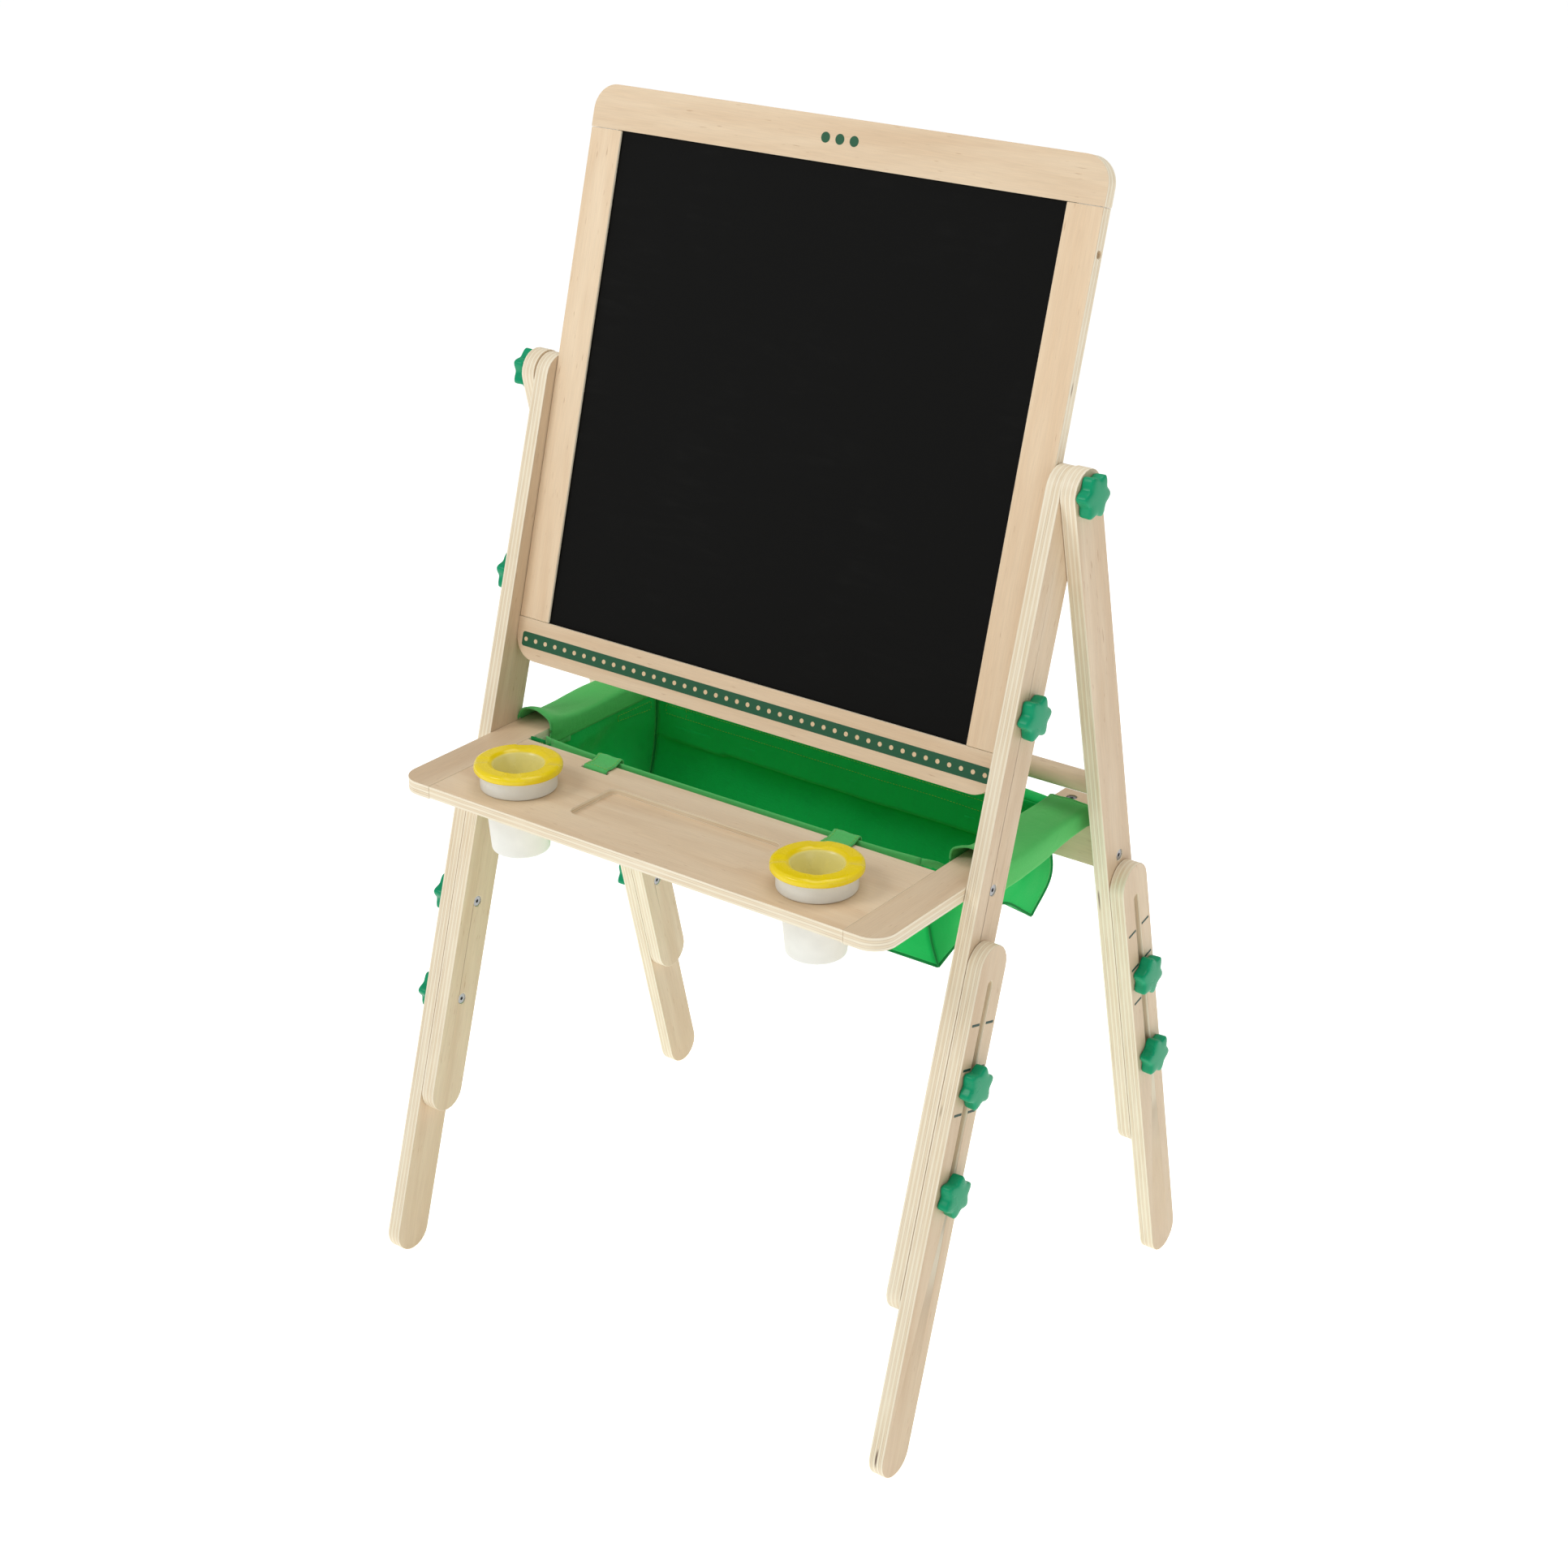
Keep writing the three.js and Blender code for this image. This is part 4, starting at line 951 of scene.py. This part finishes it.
# Corners of the bin, in mm: (x, y, z) of the sewn bottom corners and of the tops of the corner seams.
BOTTOM = {
    "front_left": Vector((-229, -95, 424)), "front_right": Vector((233, -95, 430)),
    "back_left": Vector((-230, 76, 420)), "back_right": Vector((229, 67, 412)),
}
RIM_Z = 528.0
RIM_Y = -98.5
RIM_LEFT, RIM_RIGHT = -208.0, 212.0
ARM_SIDE = 229.8
UNDER_ARM_Z = 510.5
BACK_Y = 88.5
SLEEVE_FRONT, SLEEVE_BACK = -74.0, 86.0
COLUMNS, ROWS = 72, 30


def bin_edges():
    """Every sewn edge of the bin as a line in mm."""
    edge = {}
    rim = [(RIM_LEFT, RIM_Y + 3, RIM_Z), (-150, RIM_Y, RIM_Z - 0.4), (-40, RIM_Y + 1.0, RIM_Z - 1.6),
           (70, RIM_Y + 0.6, RIM_Z - 1.2), (160, RIM_Y, RIM_Z - 0.4), (RIM_RIGHT, RIM_Y + 3, RIM_Z)]
    edge["front_top"] = smooth_line(rim, COLUMNS)
    a, b = BOTTOM["front_left"], BOTTOM["front_right"]
    edge["front_bottom"] = smooth_line([a, (-130, -97, 424), (-30, -97, 431), (120, -96, 430), b], COLUMNS)
    a, b = BOTTOM["back_left"], BOTTOM["back_right"]
    edge["back_bottom"] = smooth_line([a, (-120, 86, 413), (0, 87, 411), (120, 86, 412), b], COLUMNS)
    top = UNDER_ARM_Z + 3
    edge["back_top"] = smooth_line([(-ARM_SIDE, BACK_Y, top), (-80, BACK_Y + 0.4, top + 2),
                                    (90, BACK_Y + 0.4, top + 2), (ARM_SIDE, BACK_Y, top)], COLUMNS)
    for side, sign in SIDES.items():
        front, back = BOTTOM[f"front_{side}"], BOTTOM[f"back_{side}"]
        rim_end = edge["front_top"][0 if sign < 0 else -1]
        edge[f"{side}_front"] = smooth_line([rim_end, (sign * 219, -97, 490), (sign * 226, -97, 455),
                                             front], ROWS)
        edge[f"{side}_back"] = smooth_line([(sign * ARM_SIDE, BACK_Y, top), (sign * 231, 90, 480),
                                            (sign * 234, 89, 445), back], ROWS)
        edge[f"{side}_top"] = smooth_line([rim_end, (sign * 221, -88, 525), (sign * ARM_SIDE, -68, 514),
                                           (sign * ARM_SIDE, -30, UNDER_ARM_Z),
                                           (sign * ARM_SIDE, 30, UNDER_ARM_Z),
                                           (sign * ARM_SIDE, BACK_Y, top)], 40)
        mid = (front + back) / 2
        edge[f"{side}_bottom"] = smooth_line([front, mid + Vector((-2 * sign, -30, 20)),
                                              mid + Vector((-2 * sign, 26, 26)), back], 40)
    return edge


RAIL_FRONT = 89.6
RAIL_LOW = 462.0


def clear_of_rail(point):
    """Keep the back wall's cloth in front of the cross board it is stretched over."""
    if point.z < RAIL_LOW or point.y < RAIL_FRONT:
        return point
    return Vector((point.x, RAIL_FRONT - 0.05 * (point.y - RAIL_FRONT), point.z))


def bin_panels(edge):
    panels = {}
    front = coons(edge["front_top"], edge["front_bottom"], edge["left_front"], edge["right_front"])
    panels["front"] = rumple(front, 4.0, (0.016, 0.012), 1.3, bow=-2.5)
    back = coons(edge["back_top"], edge["back_bottom"], edge["left_back"], edge["right_back"])
    back = rumple(back, 4.6, (0.017, 0.010), 4.1, bow=3.0)
    panels["back"] = [[clear_of_rail(point) for point in row] for row in back]
    for number, side in enumerate(SIDES):
        wall = coons(edge[f"{side}_top"], edge[f"{side}_bottom"],
                     edge[f"{side}_front"], edge[f"{side}_back"])
        panels[side] = rumple(wall, 5.0, (0.022, 0.012), 7.7 + 3 * number, bow=3.5 - 7 * number)
    floor = coons(edge["front_bottom"], edge["back_bottom"], even(edge["left_bottom"], 40),
                  even(edge["right_bottom"], 40))
    panels["bottom"] = rumple(floor, 5.0, (0.013, 0.013), 12.9, bow=-9.0)
    return panels


def sleeve_section(sign, y):
    """The sleeve round an arm at one distance back: from under its inner edge, over it and back."""
    opening = math.exp(-(((y - SLEEVE_FRONT) / 20) ** 2))
    lift = 1.2 + 12.0 * opening + 1.2 * math.sin(y * 0.06 + sign)
    droop = 9.0 * (SLEEVE_BACK - y) / (SLEEVE_BACK - SLEEVE_FRONT)
    puff = 1.6 + 1.2 * math.sin(y * 0.045 + 2)
    profile = [(229.6, 509.5), (229.4, 516), (229.9 - 2 * opening, 523),
               (231.8 - 2 * opening, 527.4 + 0.5 * lift),
               (240, 527.6 + 0.9 * lift), (251, 527.8 + lift), (263, 527.4 + 0.8 * lift),
               (270.8 + 0.5 * puff, 526.2), (272.4 + puff, 520), (272.6 + puff, 513 - 0.5 * droop),
               (271.5 + puff, 509 - droop), (266, 508 - droop), (250, 508.6 - 0.6 * droop),
               (236, 509.2 - 0.2 * droop), (230.4, 509.4)]
    return [Vector((sign * x, y, z)) for x, z in profile]


def sleeve_patch(sign):
    rows = []
    steps = 48
    for row in range(steps + 1):
        y = SLEEVE_FRONT + (SLEEVE_BACK - SLEEVE_FRONT) * row / steps
        line = smooth_line(sleeve_section(sign, y), 64)
        new = []
        for column, point in enumerate(line):
            where = Vector((point.x * 0.05, y * 0.028, column * 0.06 + sign))
            loose = max(0.0, math.sin(math.pi * column / 64))
            sway = noise.noise(where) * 1.5 * loose
            rise = max(-0.6, sway) if 14 < column < 44 else 0.5 * sway
            new.append(point + Vector((sign * 0.3 * sway, 0, rise)))
        rows.append(new)
    return rows


def rear_sleeve_patch():
    """The sleeve round the cross board: up its front, loosely over the top and down its back."""
    rows = []
    steps = 60
    for row in range(steps + 1):
        x = -221 + 442 * row / steps
        share = row / steps
        loose = 5.5 * math.sin(math.pi * share) ** 0.4 + 1.2 * math.sin(x * 0.05)
        profile = [(89.2, 505), (89.6, 511), (91.0, 515.2 + 0.5 * loose), (98, 516.2 + loose),
                   (105, 515.0 + 0.4 * loose), (107.0, 508), (107.2, 490), (107.0, 474), (105, 465.4),
                   (98, 464.2), (91, 465), (89.8, 470), (89.6, 480)]
        line = smooth_line([Vector((x, y, z)) for y, z in profile], 56)
        rows.append([p + Vector((0, 0.8 * noise.noise(Vector((x * 0.03, i * 0.12, 5))), 0))
                     for i, p in enumerate(line)])
    return rows


def offset_line(line, shift):
    return [point + Vector(shift) for point in line]


def fabric_bin():
    cloth = canvas("bin_canvas", BIN_GREEN, 1.0)
    # painted light: the sleeves over the arms use a lighter copy of the bin green, standing in for the
    # light falling on their tops
    lit_sleeve = canvas("lit_sleeve_canvas", srgb(84, 196, 100), 4.0, sheen=0.5)
    # painted light: the hems, tabs and sleeve edges take the lighter copy of the bin green
    light = canvas("lit_hem_canvas", LIT_HEM_GREEN, 7.0)
    # painted shade: the seams and the end tab take the darker copy of the bin green
    dark = canvas("shaded_seam_canvas", SHADED_SEAM_GREEN, 9.0, sheen=0.15)
    edge = bin_edges()
    panels = bin_panels(edge)
    made = {name: cloth_piece(f"bin_{name}_panel", patch, cloth) for name, patch in panels.items()}
    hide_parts("fabric_bin")

    hem = tube("bin_front_hem", offset_line(edge["front_top"], (0, 0, -4.2)), 10.5, 2.4, light, steps=16)
    for side in SIDES:
        line = offset_line(edge[f"{side}_top"][:14], (0, 0, -3.2))
        tube(f"bin_{side}_hem", line, 8.0, 2.2, light, steps=14)
    for name in ("front_bottom", "back_bottom", "left_bottom", "right_bottom", "left_front", "right_front",
                 "left_back", "right_back"):
        line = edge[name][2:] if name.endswith("front") else edge[name]
        tube(f"bin_seam_{name}", line, 3.6, 1.9, dark, steps=12, flat_across=seam_out(name))
    for side, sign in SIDES.items():
        patch = sleeve_patch(sign)
        cloth_piece(f"bin_{side}_sleeve", patch, lit_sleeve, 0.9)
        front_ring, back_ring = patch[0], patch[-1]
        rings = [tube(f"bin_{side}_sleeve_hem_{place}", ring[2:-2], 2.0, 1.5, light, steps=10)
                 for place, ring in (("front", front_ring), ("back", back_ring))]
        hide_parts(f"bin_sleeve_{side}")
        for row in (4, 44):
            stitch(patch[row][10:50], Vector((0, 0, 1)))
    rear = rear_sleeve_patch()
    rear_piece = cloth_piece("bin_rear_sleeve", rear, cloth, 0.9)
    sew_panels(panels)
    tabs(light, dark)
    if _stitches["points"]:
        mesh_piece("bin_stitching", _stitches["points"], _stitches["faces"],
                   thread("thread", srgb(150, 205, 60)), "frame")


def seam_out(name):
    """The way a seam's allowance stands out from the bin."""
    directions = {
        "front_bottom": (0, -0.4, -1), "back_bottom": (0, 0.4, -1), "left_bottom": (-0.6, 0, -1),
        "right_bottom": (0.6, 0, -1), "left_front": (-1, -1, 0), "right_front": (1, -1, 0),
        "left_back": (-1, 1, 0), "right_back": (1, 1, 0),
    }
    return Vector(directions[name])


def sew_panels(panels):
    """Rows of stitching inside the bin: two along the back, one on each side, a box at each corner."""
    back = panels["back"]
    inward = Vector((0, -1, 0))
    for row in (4, 7):
        stitch(offset_line(back[row][2:-2], (0, -0.6, 0)), inward)
    for column in (2, 6, COLUMNS - 6, COLUMNS - 2):
        stitch(offset_line([back[r][column] for r in range(4, 8)], (0, -0.6, 0)), inward)
    for side, sign in SIDES.items():
        wall = panels[side]
        lift = Vector((-sign, 0, 0))
        for row in (3, 6):
            stitch(offset_line(wall[row][28:39], (-sign * 0.6, 0, 0)), lift)
        stitch(offset_line([wall[r][38] for r in range(3, 7)], (-sign * 0.6, 0, 0)), lift)
        stitch(offset_line([wall[r][28] for r in range(3, 7)], (-sign * 0.6, 0, 0)), lift)


TAB_X = 135.0
TAB_WIDTH = 27.0


def tab_path():
    """A webbing loop from the slot in the shelf, over its back edge and down inside the bin."""
    return smooth_line([Vector(p) for p in (
        (0, -119.6, 511.0), (0, -119.6, 522.0), (0, -119.2, 526.0), (0, -117.0, 527.4), (0, -108.0, 527.3),
        (0, -101.5, 529.0), (0, -98.0, 530.9), (0, -94.8, 529.4), (0, -94.2, 522.0),
        (0, -94.0, 508.0))], 44)


def tabs(light, dark):
    for side, sign in SIDES.items():
        path = tab_path()
        patch = []
        for point in path:
            line = []
            for column in range(13):
                x = sign * TAB_X + TAB_WIDTH * (column / 12 - 0.5)
                line.append(Vector((x, point.y, point.z + 0.25 * math.sin(column * 0.8 + point.y))))
            patch.append(line)
        piece = cloth_piece(f"bin_tab_{side}", patch, light, 1.3)
        for column in (1, 11):
            stitch([line[column] + Vector((0, -0.2, 0.8)) for line in patch[12:30]], Vector((0, -0.3, 1)))
        stitch([p + Vector((0, 0, 0.8)) for p in patch[13][1:12]], Vector((0, 0, 1)))
    end = [[Vector((x, -101.2 + 0.3 * math.sin(x), z)) for x in np.linspace(-229, -212, 9)]
           for z in np.linspace(528.5, 506, 12)]
    piece = cloth_piece("bin_end_tab", end, dark, 1.3)
    stitch([line[6] + Vector((0, -0.8, 0)) for line in end[1:11]], Vector((0, -1, 0)))
    stitch([line[7] + Vector((0, -0.8, 0)) for line in end[1:11]], Vector((0, -1, 0)))


# ------------------------------------------------------------------ room, light and camera
FLOOR_GLOW = 0.62
FLOOR_HALF = 30
FLOOR_GAP = 0.5 * MM


def floor():
    shade = Shading("floor_paper")
    point = shade.here()
    grain = shade.noise(point, (300, 300, 300), 1.0, detail=2)
    shade.surface(Base_Color=shade.mix(grain, (0.90, 0.90, 0.895, 1), (0.93, 0.93, 0.925, 1)))
    shade.surface(Roughness=0.9, Specular_IOR_Level=0.1)
    shade.surface(Emission_Color=(1.0, 1.0, 1.0, 1.0), Emission_Strength=FLOOR_GLOW)
    mesh = bpy.data.meshes.new("floor")
    half = FLOOR_HALF
    corners = [(-half, -half, 0), (half, -half, 0), (half, half, 0), (-half, half, 0)]
    mesh.from_pydata(corners, [], [(0, 1, 2, 3)])
    mesh.materials.append(shade.material)
    made = bpy.data.objects.new("floor", mesh)
    bpy.context.scene.collection.objects.link(made)
    made.location.z = -FLOOR_GAP


def area_light(name, place, target, size, power, colour=(1, 1, 1)):
    data = bpy.data.lights.new(name, "AREA")
    data.shape = "DISK"
    data.size = size
    data.energy = power
    data.color = colour
    made = bpy.data.objects.new(name, data)
    bpy.context.scene.collection.objects.link(made)
    made.location = place
    made.rotation_mode = "QUATERNION"
    made.rotation_quaternion = (Vector(target) - Vector(place)).to_track_quat("-Z", "Y")


def lights():
    world = bpy.data.worlds.new("studio")
    bpy.context.scene.world = world
    world.use_nodes = True
    background = world.node_tree.nodes["Background"]
    background.inputs["Color"].default_value = (1.0, 1.0, 1.0, 1)
    background.inputs["Strength"].default_value = 0.42
    area_light("key", (-1.6, -2.4, 3.0), (0, 0, 0.6), 1.6, 36)
    area_light("top", (0.2, 0.6, 3.4), (0, 0, 0.5), 2.4, 30)
    area_light("fill", (3.0, -1.2, 1.6), (0, 0, 0.6), 2.0, 8)
    bpy.context.scene.view_settings.view_transform = "Standard"
    bpy.context.scene.view_settings.exposure = 0.0


CAMERA_AZIMUTH = math.radians(36.772)
CAMERA_ELEVATION = math.radians(25.237)
CAMERA_ROLL = math.radians(0.279)
CAMERA_PLACE = (1350.54, -1853.35, 1557.56)
CAMERA_LENS = 61.95
CAMERA_SHIFT = (0.01607, 0.01759)


def camera():
    a, e, r = CAMERA_AZIMUTH, CAMERA_ELEVATION, CAMERA_ROLL
    right = Vector((math.cos(a), math.sin(a), 0))
    back = Vector((math.sin(a) * math.cos(e), -math.cos(a) * math.cos(e), math.sin(e)))
    up = back.cross(right)
    x = right * math.cos(r) + up * math.sin(r)
    y = up * math.cos(r) - right * math.sin(r)
    data = bpy.data.cameras.new("camera")
    data.lens = CAMERA_LENS
    data.sensor_width = 36
    data.shift_x, data.shift_y = CAMERA_SHIFT
    data.clip_end = 100
    made = bpy.data.objects.new("camera", data)
    bpy.context.scene.collection.objects.link(made)
    made.matrix_world = Matrix.Translation(at(*CAMERA_PLACE)) @ Matrix((x, y, back)).transposed().to_4x4()
    bpy.context.scene.camera = made


# ------------------------------------------------------------------ the whole scene
camera()
floor()
lights()
dress_board()
dress_legs()
dress_shelf()
dress_steel()
knobs()
cups()
board_prints()
height_marks()
fabric_bin()
